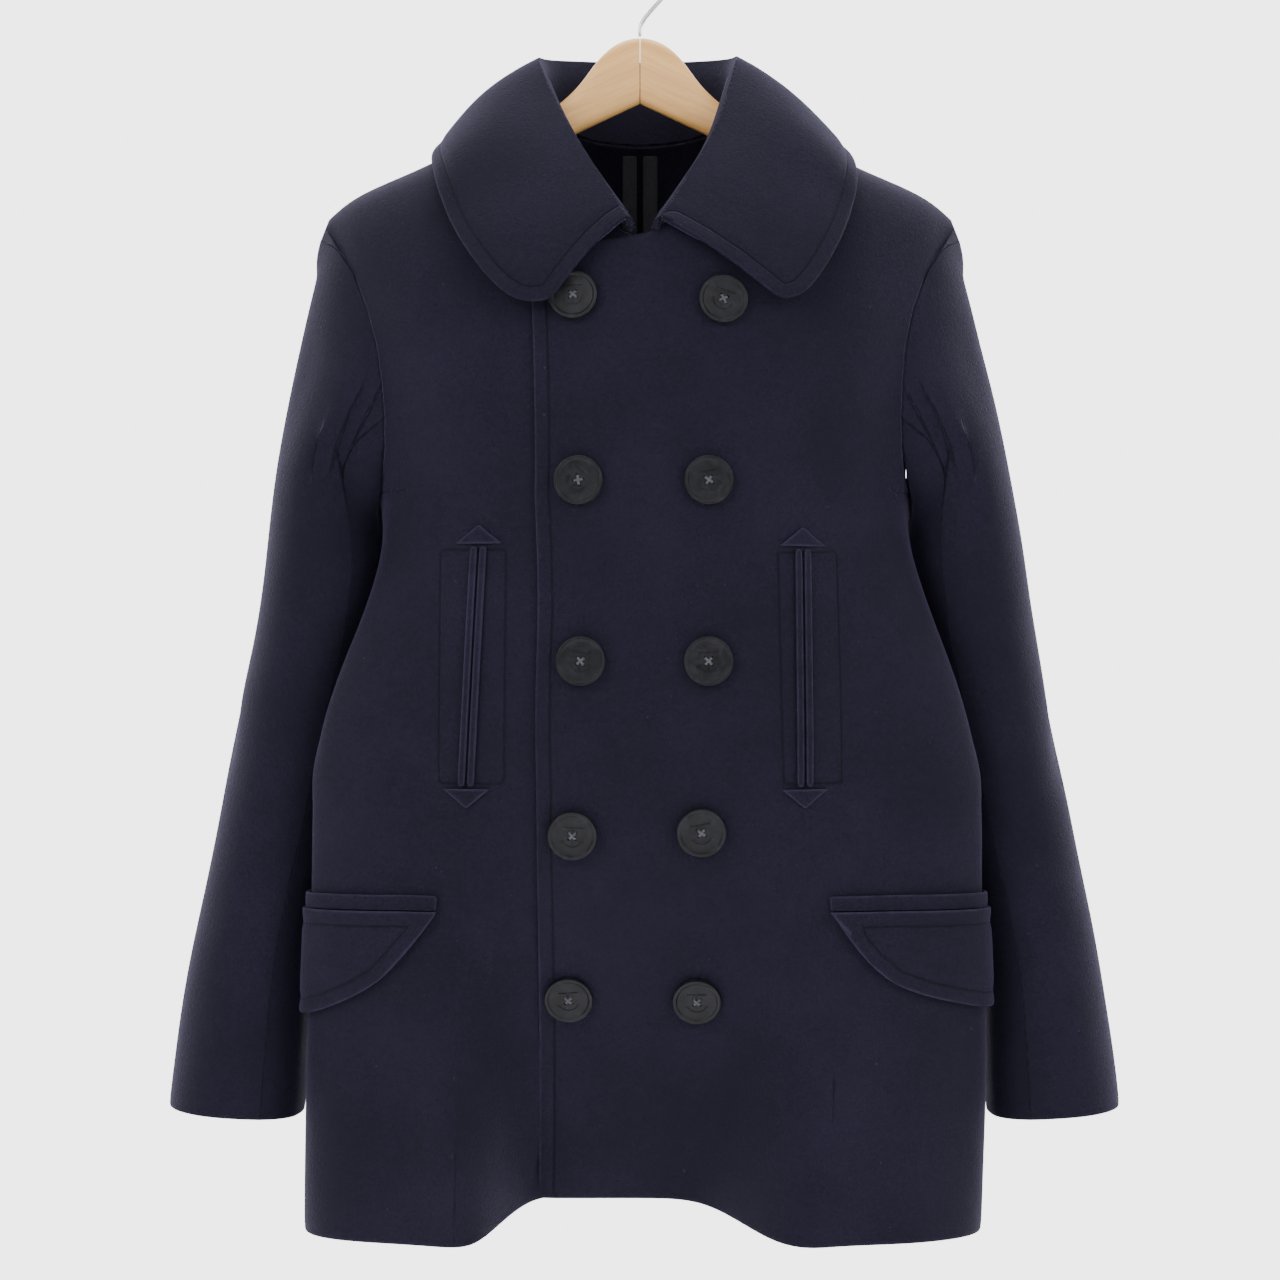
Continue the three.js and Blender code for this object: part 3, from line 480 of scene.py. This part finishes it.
def creaseLift(rows, across, z, keyA, keyB, spread=1.0):
    # summed height of the creases at each point, in mm
    lift = np.zeros(len(z))
    for row in rows:
        ax, az = row[keyA] * spread, row["z1"]
        bx, bz = row[keyB] * spread, row["z2"]
        length = math.hypot(bx - ax, bz - az)
        ux, uz = (bx - ax) / length, (bz - az) / length
        t = ((across - ax) * ux + (z - az) * uz) / length
        off = (across - ax) * -uz + (z - az) * ux
        inside = np.clip(t, 0, 1)
        off = off - row["bend"] * 4 * inside * (1 - inside)
        past = (t - inside) * length
        taper = np.sin(np.pi * np.clip(0.12 + 0.76 * inside, 0, 1)) ** 1.5
        lift += row["height"] * taper * np.exp(-(off / (row["width"] * 1.15)) ** 2 - (past / 26) ** 2)
    return lift


def handWave(points, size):
    # slight unevenness that any hung cloth has, in mm
    x, y, z = points.T
    return size * (np.sin(x / 31 + z / 83 + 0.7) * np.sin(z / 57 - x / 141 + 1.9)
                   + 0.6 * np.sin(x / 17 - z / 49 + y / 23) * np.sin(z / 29 + 2.1))


def bodyShift(points):
    # how far the body's cloth moves at each point, in mm
    x, y, z = points.T
    outX = np.sign(x) * (np.abs(x) / 235) ** 1.6 / 235
    outY = np.sign(y) * (np.abs(y) / 110) ** 1.6 / 110
    size = np.maximum(np.hypot(outX, outY), 1e-9)
    front = y < 0
    lift = np.where(front, creaseLift([r for r in bodyCreases if r["side"] < 0], x, z, "x1", "x2"),
                    creaseLift([r for r in bodyCreases if r["side"] > 0], x, z, "x1", "x2"))
    facing = np.clip(np.abs(outY) / size * 1.6 - 0.15, 0, 1)
    topFade = np.clip((-215 - z) / 60, 0, 1)
    lift = lift * facing * topFade + handWave(points, 0.55) * facing * topFade
    return np.stack([outX / size * lift, outY / size * lift, np.zeros(len(x))], 1)


def sleeveShift(points, side):
    x, y, z = points.T
    sign = 1 if side == "left" else -1
    order = sleeveLine["z"]
    middleX = np.interp(z, order, sleeveLine["x"]) * sign
    middleY = np.interp(z, order, sleeveLine["y"])
    outX, outY = x - middleX, y - middleY
    size = np.maximum(np.hypot(outX, outY), 1e-6)
    turn = np.degrees(np.arctan2(-outY, outX * sign)) % 360
    lift = creaseLift(sleeveCreases[side], turn * math.radians(1) * sleeveRadius, z, "turn1", "turn2",
                      math.radians(1) * sleeveRadius)
    topFade = np.clip((-230 - z) / 60, 0, 1)
    inner = np.clip((np.abs(turn - 180) - 20) / 30, 0, 1)  # still where the sleeve lies by the body
    lift = (lift + handWave(points, 0.6)) * topFade * np.where(z > -760, 0.25 + 0.75 * inner, 1)
    return np.stack([outX / size * lift, outY / size * lift, np.zeros(len(x))], 1)


def collarShift(points):
    x, y, z = points.T
    lift = 1.5 * np.sin(x / 23 + z / 31) * np.sin(y / 29 - z / 41 + 0.8) + handWave(points, 0.4)
    outX, outY = x / 150, y / 110
    size = np.maximum(np.hypot(outX, outY), 1e-6)
    away = np.clip((np.abs(x) - 55) / 40, 0, 1)
    return np.stack([outX / size * lift * away, outY / size * lift * away, np.zeros(len(x))], 1)


def isBodyNode(name):
    return name.startswith(("front", "back", "seam", "slash", "pocket"))


def outwardOf(name, points):
    # rough outward direction of a piece at each point
    x, y, z = points.T
    if name.startswith("sleeve"):
        sign = 1 if name.endswith("left") else -1
        middleX = np.interp(z, sleeveLine["z"], sleeveLine["x"]) * sign
        middleY = np.interp(z, sleeveLine["z"], sleeveLine["y"])
        out = np.stack([x - middleX, y - middleY, np.zeros(len(x))], 1)
    elif name == "collar":
        out = np.stack([x / 150, y / 100, np.full(len(x), 0.55)], 1)
    else:
        out = np.stack([np.sign(x) * (np.abs(x) / 235) ** 2, np.sign(y) * (np.abs(y) / 110) ** 2,
                        np.where(z > -200, 0.6, 0.0)], 1)
    return out / np.maximum(np.linalg.norm(out, axis=1), 1e-9)[:, None]


def readPoints(mesh):
    co = np.empty(len(mesh.vertices) * 3)
    mesh.vertices.foreach_get("co", co)
    return co.reshape(-1, 3) / mm


def writePoints(mesh, points):
    mesh.vertices.foreach_set("co", (points * mm).ravel())
    mesh.update()


def readNormals(mesh):
    normals = np.empty(len(mesh.vertices) * 3)
    mesh.vertices.foreach_get("normal", normals)
    return normals.reshape(-1, 3)


def mergedCopy(node, name):
    # a copy of a CAD node's mesh, merged and turned back into four-sided faces
    piece = bpy.data.objects.new(name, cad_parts[node].data.copy())
    bpy.context.scene.collection.objects.link(piece)
    piece.data.name = name
    piece.data.materials.clear()
    makeActive(piece)
    if piece.data.has_custom_normals:
        bpy.ops.mesh.customdata_custom_splitnormals_clear()
    bpy.ops.object.mode_set(mode="EDIT")
    bpy.ops.mesh.select_all(action="SELECT")
    bpy.ops.mesh.remove_doubles(threshold=2e-5)
    bpy.ops.mesh.tris_convert_to_quads(face_threshold=math.radians(48), shape_threshold=math.radians(120))
    bpy.ops.object.mode_set(mode="OBJECT")
    bpy.ops.object.shade_smooth()
    return piece


def markRims(mesh, free, closing=0.17, step=2.0):
    # the sharp edges of a wall: free ones are to be bevelled, the sewn ones kept sharp and drawn to their seam
    shape = bmesh.new()
    shape.from_mesh(mesh)
    bevel = shape.edges.layers.float.new("bevel_weight_edge")
    crease = shape.edges.layers.float.new("crease_edge")
    freeLine, seamLine, sewn, loose = [], [], set(), []
    for edge in shape.edges:
        if len(edge.link_faces) != 2 or edge.calc_face_angle(0) < math.radians(50):
            continue
        a, b = edge.verts[0].co / mm, edge.verts[1].co / mm
        if (b - a).length < 0.2:
            continue
        isFree = free((a + b) / 2, (b - a).normalized())
        count = max(1, int((b - a).length / step))
        (freeLine if isFree else seamLine).extend(a.lerp(b, i / count) for i in range(count + 1))
        if isFree:
            loose.append(edge)
        else:
            sewn.add(edge)
            edge[crease] = 1
    sewnPoints = {vert for edge in sewn for vert in edge.verts}
    for edge in loose:  # a corner across the wall's thickness, where a free edge meets a seam, stays sharp
        corner = sum(vert in sewnPoints for vert in edge.verts) == 2
        edge[crease if corner else bevel] = 1
    pulls = {}
    for face in shape.faces:  # the narrow faces of a seam move out until they meet their neighbour
        rims = [edge for edge in face.edges if edge in sewn]
        if len(rims) < 2 or face.calc_area() > 6.5 * mm * max(edge.calc_length() for edge in face.edges):
            continue
        for vert in {vert for edge in rims for vert in edge.verts}:
            pulls[vert] = pulls.get(vert, Vector()) + face.normal
    for vert, pull in pulls.items():
        vert.co += pull.normalized() * closing * mm
    shape.to_mesh(mesh)
    shape.free()
    return freeLine, seamLine


def distanceTo(line, points, reach=60.0):
    if not line:
        return np.full(len(points), reach)
    tree = KDTree(len(line))
    for index, point in enumerate(line):
        tree.insert(point, index)
    tree.balance()
    return np.array([min(reach, tree.find(point)[2]) for point in points])


def addModifier(piece, kind, **values):
    makeActive(piece)
    modifier = piece.modifiers.new(kind.title(), kind)
    for key, value in values.items():
        setattr(modifier, key, value)
    bpy.ops.object.modifier_apply(modifier=modifier.name)


def softenWall(piece, width, levels):
    addModifier(piece, "BEVEL", width=width * mm, segments=1, limit_method="WEIGHT", use_clamp_overlap=True)
    addModifier(piece, "SUBSURF", levels=levels, render_levels=levels)
    bpy.ops.object.shade_smooth()
    bpy.ops.object.shade_smooth_by_angle(angle=math.radians(60))


def saveAttribute(mesh, name, values):
    layer = mesh.attributes.new(name, "FLOAT", "POINT")
    layer.data.foreach_set("value", np.asarray(values, np.float32))


def sinkAt(points, normals, outer, signed, width, depth):
    # soft dip along the line where the signed distance is 0
    share = np.exp(-(signed / width) ** 2) * depth * outer
    return points - normals * share[:, None]


def levelLines(mesh, values, level, outer):
    # polylines on the outer faces where the value passes the level, with their normals
    points = readPoints(mesh)
    normals = readNormals(mesh)
    crossings, links = {}, {}
    for face in mesh.polygons:
        ids = face.vertices
        if not all(outer[i] for i in ids):
            continue
        hits = []
        for k in range(len(ids)):
            a, b = ids[k], ids[(k + 1) % len(ids)]
            va, vb = values[a] - level, values[b] - level
            if (va < 0) == (vb < 0):
                continue
            key = (min(a, b), max(a, b))
            if key not in crossings:
                t = va / (va - vb)
                crossings[key] = (points[a] * (1 - t) + points[b] * t, normals[a] * (1 - t) + normals[b] * t)
            hits.append(key)
        if len(hits) == 2:
            links.setdefault(hits[0], []).append(hits[1])
            links.setdefault(hits[1], []).append(hits[0])
    lines, used = [], set()
    starts = [key for key in links if len(links[key]) == 1] + list(links)
    for start in starts:
        if start in used:
            continue
        chain, here = [start], start
        used.add(start)
        while True:
            ahead = [key for key in links[here] if key not in used]
            if not ahead:
                break
            here = ahead[0]
            used.add(here)
            chain.append(here)
        if len(chain) > 3:
            lines.append([crossings[key] for key in chain])
    return lines


def stitchShape():
    # one stitch: a short, flattened, rounded run of thread along X
    deselect()
    bpy.ops.mesh.primitive_uv_sphere_add(segments=6, ring_count=4, radius=1)
    ball = bpy.context.object
    bpy.ops.object.mode_set(mode="EDIT")
    bpy.ops.mesh.select_all(action="SELECT")
    bpy.ops.transform.rotate(value=math.pi / 2, orient_axis="Y", center_override=(0, 0, 0))
    bpy.ops.transform.resize(value=(stitchLook["length"] / 2, stitchLook["width"] / 2, stitchLook["width"] / 3),
                             center_override=(0, 0, 0))
    bpy.ops.object.mode_set(mode="OBJECT")
    corners = np.array([v.co[:] for v in ball.data.vertices])
    faces = [tuple(f.vertices) for f in ball.data.polygons]
    bpy.data.objects.remove(ball)
    return corners, faces


def stitchesAlong(lines, sink=0.25, pitch=None):
    # places of the stitches on some polylines: a list of 4x3 frames (centre, along, side, up)
    pitch = pitch or stitchLook["pitch"]
    places = []
    for line in lines:
        points = np.array([p for p, _ in line])
        normals = np.array([n for _, n in line])
        steps = np.linalg.norm(np.diff(points, axis=0), axis=1)
        reached = np.concatenate([[0], np.cumsum(steps)])
        count = int(reached[-1] / pitch)
        for index in range(count):
            at = (index + 0.5) * pitch
            centre = np.array([np.interp(at, reached, points[:, k]) for k in range(3)])
            up = np.array([np.interp(at, reached, normals[:, k]) for k in range(3)])
            ahead = np.array([np.interp(min(at + 1.5, reached[-1]), reached, points[:, k]) for k in range(3)])
            behind = np.array([np.interp(max(at - 1.5, 0), reached, points[:, k]) for k in range(3)])
            along = ahead - behind
            if np.linalg.norm(along) < 1e-6:
                continue
            along = along / np.linalg.norm(along)
            up = up - along * (up @ along)
            up = up / max(np.linalg.norm(up), 1e-9)
            side = np.cross(up, along)
            places.append((centre - up * sink, along, side, up))
    return places


def joinStitches(name, places, material, rests):
    if not places:
        return
    corners, faces = oneStitch
    points, polygons = [], []
    for centre, along, side, up in places:
        start = len(points)
        points += [tuple((centre + along * c[0] + side * c[1] + up * c[2]) * mm) for c in corners]
        polygons += [tuple(start + i for i in face) for face in faces]
    mesh = bpy.data.meshes.new(name)
    mesh.from_pydata(points, [], polygons)
    piece = bpy.data.objects.new(name, mesh)
    bpy.context.scene.collection.objects.link(piece)
    mesh.materials.append(material)
    makeActive(piece)
    bpy.ops.object.shade_smooth()
    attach(piece, "root")
    print("stitches", name, len(places))
    return rests


def nearBody(point):
    return abs(point.x) < 225


def overlapEdge(sign):
    def keep(point, direction):
        return abs(point.x + sign * 78) < 7 and abs(direction.z) > 0.6
    return keep


def hemEdge(point, direction):
    return point.z < -900 and abs(direction.z) < 0.75


def frontEdges(sign):
    # the overlap edge and the hem of a front, not its neck, shoulder, armhole or side seam
    overlap = overlapEdge(sign)
    return lambda point, direction: overlap(point, direction) or hemEdge(point, direction)


def cuffEdge(point, direction):
    return point.z < -840 and abs(direction.z) < 0.7


def collarEdge(point, direction):
    # the fall's outer and lower edges, not the neck seam
    return point.y < -113 or (math.hypot(point.x / 64, (point.y + 25) / 80) > 1.5 and point.z < -135)


def flapEdge(point, direction):
    return point.z < -699.5


def allEdges(point, direction):
    return True


def nothing(point, direction):
    return False


# every wall of cloth: mesh level and bevel, its flat cut in mm and cm2, how it is held, and its stitched edge
clothPieces = rowsOf("node level bevel width length cut held rests free stitched", [
    ["front_left", 3, 1.2, 400, 820, 2870, "hung", ["hanger_left"], frontEdges(1), overlapEdge(1)],
    ["front_right", 3, 1.2, 400, 820, 2890, "hung", ["hanger_right"], frontEdges(-1), overlapEdge(-1)],
    ["back_left", 3, 1.2, 290, 800, 2050, "hung", ["hanger_left"], hemEdge, nothing],
    ["back_right", 3, 1.2, 290, 800, 2050, "hung", ["hanger_right"], hemEdge, nothing],
    ["seam_binding_left", 1, 0.3, 12, 790, 93, "laid", ["back_left"], allEdges, nothing],
    ["seam_binding_right", 1, 0.3, 12, 790, 93, "laid", ["back_right"], allEdges, nothing],
    ["sleeve_top_left", 3, 1.2, 290, 640, 1430, "hung", ["front_left"], cuffEdge, cuffEdge],
    ["sleeve_top_right", 3, 1.2, 290, 640, 1430, "hung", ["front_right"], cuffEdge, cuffEdge],
    ["sleeve_under_left", 3, 1.2, 165, 500, 680, "hung", ["front_left"], cuffEdge, cuffEdge],
    ["sleeve_under_right", 3, 1.2, 165, 500, 680, "hung", ["front_right"], cuffEdge, cuffEdge],
    ["collar", 3, 1.9, 620, 190, 1020, "folded", ["front_left", "front_right"], collarEdge, collarEdge],
    ["slash_welt_right_inner", 2, 0.9, 11, 170, 11.5, "laid", ["front_right"], allEdges, nothing],
    ["slash_welt_right_outer", 2, 0.9, 11, 170, 11.5, "laid", ["front_right"], allEdges, nothing],
    ["slash_welt_left_inner", 2, 0.9, 11, 168, 11.5, "laid", ["front_left"], allEdges, nothing],
    ["slash_welt_left_outer", 2, 0.9, 11, 168, 11.5, "laid", ["front_left"], allEdges, nothing],
    ["slash_arrow_right_top", 2, 0.4, 34, 13, 2.6, "laid", ["front_right"], allEdges, nothing],
    ["slash_arrow_right_bottom", 2, 0.4, 34, 13, 2.6, "laid", ["front_right"], allEdges, nothing],
    ["slash_arrow_left_top", 2, 0.4, 34, 13, 2.6, "laid", ["front_left"], allEdges, nothing],
    ["slash_arrow_left_bottom", 2, 0.4, 34, 13, 2.6, "laid", ["front_left"], allEdges, nothing],
    ["pocket_flap_right", 3, 1.8, 150, 76, 98, "laid", ["front_right"], allEdges, flapEdge],
    ["pocket_flap_left", 3, 1.8, 165, 72, 107, "laid", ["front_left"], allEdges, flapEdge],
    ["pocket_welt_right", 2, 0.9, 145, 13, 18, "laid", ["front_right"], allEdges, nothing],
    ["pocket_welt_left", 2, 0.9, 160, 13, 20, "laid", ["front_left"], allEdges, nothing],
])

# stitched rectangles round the slash pockets, in mm: centre line top and bottom, half width
pocketBoxes = {
    "front_right": {"top": (-118, -441), "bottom": (-119, -606), "half": 23.5},
    "front_left": {"top": (118, -443), "bottom": (122, -606), "half": 21},
}


def boxDistance(points, box):
    # signed distance to the stitched rectangle, 0 on its line
    (tx, tz), (bx, bz) = box["top"], box["bottom"]
    length = math.hypot(bx - tx, bz - tz)
    ux, uz = (bx - tx) / length, (bz - tz) / length
    mx, mz = (tx + bx) / 2, (tz + bz) / 2
    dx, dz = points[:, 0] - mx, points[:, 2] - mz
    along = np.abs(dx * ux + dz * uz) - length / 2
    across = np.abs(dx * -uz + dz * ux) - box["half"]
    outside = np.hypot(np.maximum(along, 0), np.maximum(across, 0))
    return outside + np.minimum(np.maximum(along, across), 0)


def makeCloth(row):
    node = row["node"]
    piece = mergedCopy(node, f"{node}_cloth")
    freeLine, seamLine = markRims(piece.data, row["free"])
    line = [point for point in freeLine if row["stitched"](point, Vector((0, 0, 1)))] if "front" in node else freeLine
    line = [] if row["stitched"] is nothing else line
    softenWall(piece, row["bevel"], row["level"])
    mesh = piece.data
    points = readPoints(mesh)
    normals = readNormals(mesh)
    outer = np.sum(normals * outwardOf(node, points), axis=1) > 0.25
    away = distanceTo(line, points)
    rim = distanceTo(freeLine, points)
    seam = distanceTo(seamLine, points)
    pocket = np.full(len(points), 60.0)
    if node in pocketBoxes:
        pocket = np.where(points[:, 1] < 0, boxDistance(points, pocketBoxes[node]), 60.0)
    if isBodyNode(node):
        shift = bodyShift(points)
    elif node == "collar":
        shift = collarShift(points)
    else:
        shift = sleeveShift(points, node.rsplit("_", 1)[1])
    moved = points + shift
    inset = stitchLook["cuff"] if node.startswith("sleeve") else stitchLook["inset"]
    for signed in (away - inset, pocket):
        moved = sinkAt(moved, normals, outer, signed, stitchLook["grooveWidth"], stitchLook["grooveDepth"])
    writePoints(mesh, moved)
    # sleeves store their cuff line as if it were at the usual inset, so that one material serves all
    saveAttribute(mesh, "edgeLine", away - inset + stitchLook["inset"] if node.startswith("sleeve") else away)
    saveAttribute(mesh, "pocketLine", pocket)
    saveAttribute(mesh, "rimLine", rim)
    saveAttribute(mesh, "seamLine", seam)
    places = []
    if line:
        places += stitchesAlong(levelLines(mesh, away, inset, outer))
    if node in pocketBoxes:
        places += stitchesAlong(levelLines(mesh, pocket, 0, outer))
    mesh.materials.append(bindingMaterial if node.startswith("seam") else meltonMaterial)
    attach(piece, "root")
    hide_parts(node)
    joinStitches(f"{node}_topstitch", places, threadMaterial, row["rests"])
    area = sum(face.area for face in mesh.polygons)
    print("cloth", node, "faces", len(mesh.polygons), "half area cm2", round(area * 5000, 1), "cut", row["cut"])


# buttons, in mm, and how far each is turned, in degrees
buttonShape = {
    "radius": 17.25, "height": 5.2, "rim": 2.3, "dish": 1.1, "holeSpread": 2.3, "holeRadius": 1.05,
    "anchorDepth": 0.55, "threadRadius": 0.42,
}
buttonTurns = {
    "button_1_right": 4, "button_1_left": -20, "button_2_right": -38, "button_2_left": 10, "button_3_right": -6,
    "button_3_left": 2, "button_4_right": -3, "button_4_left": 10, "button_5_right": 4, "button_5_left": 0,
}


def barBetween(ax, ay, bx, by, width):
    # flat four-sided bar in the XY plane, as corner points
    length = math.hypot(bx - ax, by - ay)
    nx, ny = -(by - ay) / length * width / 2, (bx - ax) / length * width / 2
    return [(ax + nx, ay + ny), (bx + nx, by + ny), (bx - nx, by - ny), (ax - nx, ay - ny)]


def anchorOutlines():
    # a plain anchor of the ordinary kind: stock, shank and curved arms with flukes
    shapes = [barBetween(-7.0, 6.2, 7.0, 6.2, 1.0), barBetween(0, 5.7, 0, 3.9, 1.1), barBetween(0, -3.9, 0, -7.6, 1.2)]
    arms = 12
    for step in range(arms):
        a = math.radians(205 + 130 * step / arms)
        b = math.radians(205 + 130 * (step + 1) / arms)
        ra, rb = 7.6, 7.6
        shapes.append([(math.cos(a) * (ra + 0.55), math.sin(a) * (ra + 0.55)), (math.cos(a) * (ra - 0.55), math.sin(a) * (ra - 0.55)),
                       (math.cos(b) * (rb - 0.55), math.sin(b) * (rb - 0.55)), (math.cos(b) * (rb + 0.55), math.sin(b) * (rb + 0.55))])
    for sign in (-1, 1):
        a = math.radians(270 + sign * 65)
        tip = (math.cos(a) * 7.6, math.sin(a) * 7.6)
        shapes.append([(tip[0] - 1.9 * sign, tip[1] - 0.7), (tip[0] + 1.3 * sign, tip[1] - 1.1), (tip[0] + 0.3 * sign, tip[1] + 2.6)])
    return shapes


def addSolid(name, outlines, low, high):
    # upright prisms on flat outlines, as one mesh
    points, faces = [], []
    for outline in outlines:
        start, count = len(points), len(outline)
        turning = sum(outline[i][0] * outline[(i + 1) % count][1] - outline[(i + 1) % count][0] * outline[i][1] for i in range(count))
        ring = outline if turning > 0 else outline[::-1]
        points += [(x, y, low) for x, y in ring] + [(x, y, high) for x, y in ring]
        faces.append(tuple(start + i for i in reversed(range(count))))
        faces.append(tuple(start + count + i for i in range(count)))
        for i in range(count):
            j = (i + 1) % count
            faces.append((start + i, start + j, start + count + j, start + count + i))
    mesh = bpy.data.meshes.new(name)
    mesh.from_pydata(points, [], faces)
    solid = bpy.data.objects.new(name, mesh)
    bpy.context.scene.collection.objects.link(solid)
    return solid


def selectFaces(thing, wanted):
    # in edit mode: only the faces whose centre passes the test
    shape = bmesh.from_edit_mesh(thing.data)
    for item in (*shape.verts, *shape.edges, *shape.faces):
        item.select = False
    for face in shape.faces:
        if wanted(face.calc_center_median(), face.normal):
            face.select_set(True)
    bmesh.update_edit_mesh(thing.data)


def makeButtonMesh():
    # one button at the origin in mm, lying in XY with its face up
    size = buttonShape
    deselect()
    bpy.ops.mesh.primitive_cylinder_add(vertices=64, radius=size["radius"], depth=size["height"],
                                        location=(0, 0, size["height"] / 2))
    disc = bpy.context.object
    bpy.ops.object.transform_apply(location=True, rotation=True, scale=True)
    bpy.ops.object.mode_set(mode="EDIT")
    selectFaces(disc, lambda centre, normal: normal.z > 0.9)
    bpy.ops.mesh.inset(thickness=size["rim"], depth=0)
    bpy.ops.mesh.inset(thickness=0.9, depth=-size["dish"])
    selectFaces(disc, lambda centre, normal: normal.z < -0.9)
    bpy.ops.mesh.inset(thickness=2.6, depth=0.0)
    bpy.ops.transform.translate(value=(0, 0, 0))
    bpy.ops.object.mode_set(mode="OBJECT")
    addModifier(disc, "BEVEL", width=0.55, segments=3, limit_method="ANGLE", angle_limit=math.radians(25))
    top = size["height"] - size["dish"]
    cuts = [addSolid("anchorCut", [shape for shape in anchorOutlines()], top - size["anchorDepth"], top + 2)]
    holes = []
    for sx in (-1, 1):
        for sy in (-1, 1):
            centre = (sx * size["holeSpread"], sy * size["holeSpread"])
            holes.append([(centre[0] + math.cos(a) * size["holeRadius"], centre[1] + math.sin(a) * size["holeRadius"])
                          for a in [math.pi * 2 * k / 14 for k in range(14)]])
    cuts.append(addSolid("holeCut", holes, -1, size["height"] + 1))
    for cut in cuts:
        makeActive(cut)
        if cut.name.startswith("anchor"):
            bpy.ops.object.mode_set(mode="EDIT")
            bpy.ops.mesh.select_all(action="SELECT")
            bpy.ops.object.mode_set(mode="OBJECT")
        addModifier(disc, "BOOLEAN", operation="DIFFERENCE", object=cut, solver="EXACT", use_self=True)
        bpy.data.objects.remove(cut)
    return disc


def makeThreadMesh():
    # the sewing thread of one button: two crossed pairs over the face
    size = buttonShape
    top = size["height"] - size["dish"]
    pieces = []
    for sx, sy, ex, ey in ((-1, -1, 1, 1), (-1, 1, 1, -1)):
        for offset in (-0.42, 0.42):
            deselect()
            bpy.ops.mesh.primitive_cylinder_add(vertices=8, radius=size["threadRadius"], depth=1)
            strand = bpy.context.object
            bpy.ops.object.mode_set(mode="EDIT")
            bpy.ops.mesh.select_all(action="SELECT")
            bpy.ops.mesh.subdivide(number_cuts=0)
            bpy.ops.object.mode_set(mode="OBJECT")
            mesh = strand.data
            ring = [(math.cos(math.pi * 2 * k / 8), math.sin(math.pi * 2 * k / 8)) for k in range(8)]
            path = []
            steps = 10
            for step in range(steps + 1):
                t = step / steps
                x = (sx + (ex - sx) * t) * size["holeSpread"]
                y = (sy + (ey - sy) * t) * size["holeSpread"]
                rise = 0.75 * math.sin(math.pi * t) ** 0.5 if 0 < t < 1 else -1.6
                lift = 0.35 if (sx, sy) == (-1, 1) else 0
                path.append(Vector((x, y, top + rise + lift)))
            direction = (path[-1] - path[0]).normalized()
            side = Vector((-direction.y, direction.x, 0)).normalized()
            shape = bmesh.new()
            rings = []
            for index, place in enumerate(path):
                ahead = (path[min(index + 1, steps)] - path[max(index - 1, 0)]).normalized()
                up = side.cross(ahead) * -1
                rings.append([shape.verts.new(place + side * (offset + c * size["threadRadius"]) + up * s * size["threadRadius"])
                              for c, s in ring])
            for a, b in zip(rings, rings[1:]):
                for k in range(8):
                    shape.faces.new((a[k], a[(k + 1) % 8], b[(k + 1) % 8], b[k]))
            shape.faces.new(rings[0][::-1])
            shape.faces.new(rings[-1])
            bmesh.ops.recalc_face_normals(shape, faces=shape.faces)
            shape.to_mesh(mesh)
            shape.free()
            pieces.append(strand)
    deselect()
    for strand in pieces:
        strand.select_set(True)
    bpy.context.view_layer.objects.active = pieces[0]
    bpy.ops.object.join()
    bpy.ops.object.shade_smooth()
    return bpy.context.object


def buttonMatrix(node):
    # where a CAD button sits: its middle, its axis and how it is turned
    points = readPoints(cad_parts[node].data)
    middle = points.mean(0)
    _, _, axes = np.linalg.svd(points - middle, full_matrices=False)
    axis = Vector(axes[2])
    if axis.y > 0:
        axis = -axis
    heights = (points - middle) @ np.array(axis)
    base = Vector(middle) + axis * float(heights.min())
    up = Vector((0, 0, 1))
    sideways = up.cross(axis).normalized()
    upward = axis.cross(sideways).normalized()
    turned = Matrix((sideways, upward, axis)).transposed().to_4x4()
    spin = Matrix.Rotation(math.radians(buttonTurns[node]), 4, "Z")
    return Matrix.Scale(mm, 4) @ Matrix.Translation(base) @ turned @ spin


def makeButtons():
    disc = makeButtonMesh()
    thread = makeThreadMesh()
    for node in buttonTurns:
        place = buttonMatrix(node)
        for source, suffix, material in ((disc, "disc", buttonMaterial), (thread, "thread", threadMaterial)):
            piece = bpy.data.objects.new(f"{node}_{suffix}", source.data.copy())
            bpy.context.scene.collection.objects.link(piece)
            piece.data.transform(place)
            piece.data.materials.clear()
            piece.data.materials.append(material)
            makeActive(piece)
            if suffix == "disc":
                bpy.ops.object.shade_smooth_by_angle(angle=math.radians(32))
                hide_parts(node)
            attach(piece, "root")
    bpy.data.objects.remove(disc)
    bpy.data.objects.remove(thread)


# hanger and hook
def makeHanger():
    for node in ("hanger_left", "hanger_right"):
        piece = mergedCopy(node, f"{node}_wood")
        addModifier(piece, "BEVEL", width=0.6 * mm, segments=2, limit_method="ANGLE",
                    angle_limit=math.radians(60), use_clamp_overlap=True)
        addModifier(piece, "SUBSURF", levels=2, render_levels=2)
        bpy.ops.object.shade_smooth()
        piece.data.materials.append(woodMaterial)
        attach(piece, "root")
        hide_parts(node)
    piece = mergedCopy("hook", "hook_wire")
    addModifier(piece, "SUBSURF", levels=1, render_levels=1)
    bpy.ops.object.shade_smooth()
    piece.data.materials.append(steelMaterial)
    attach(piece, "root")
    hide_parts("hook")


makeCamera()
makeStage()
makeLight()
print("stage ready")
meltonMaterial = makeMelton("melton", meltonLook)
bindingMaterial = makeBinding()
buttonMaterial = makeButtonPlastic()
woodMaterial = makeWood()
steelMaterial = makeSteel()
threadMaterial = makeThread()
oneStitch = stitchShape()
print("materials ready")
for clothRow in clothPieces:
    makeCloth(clothRow)
print("cloth ready")
makeButtons()
print("buttons ready")
makeHanger()
print("hanger ready")
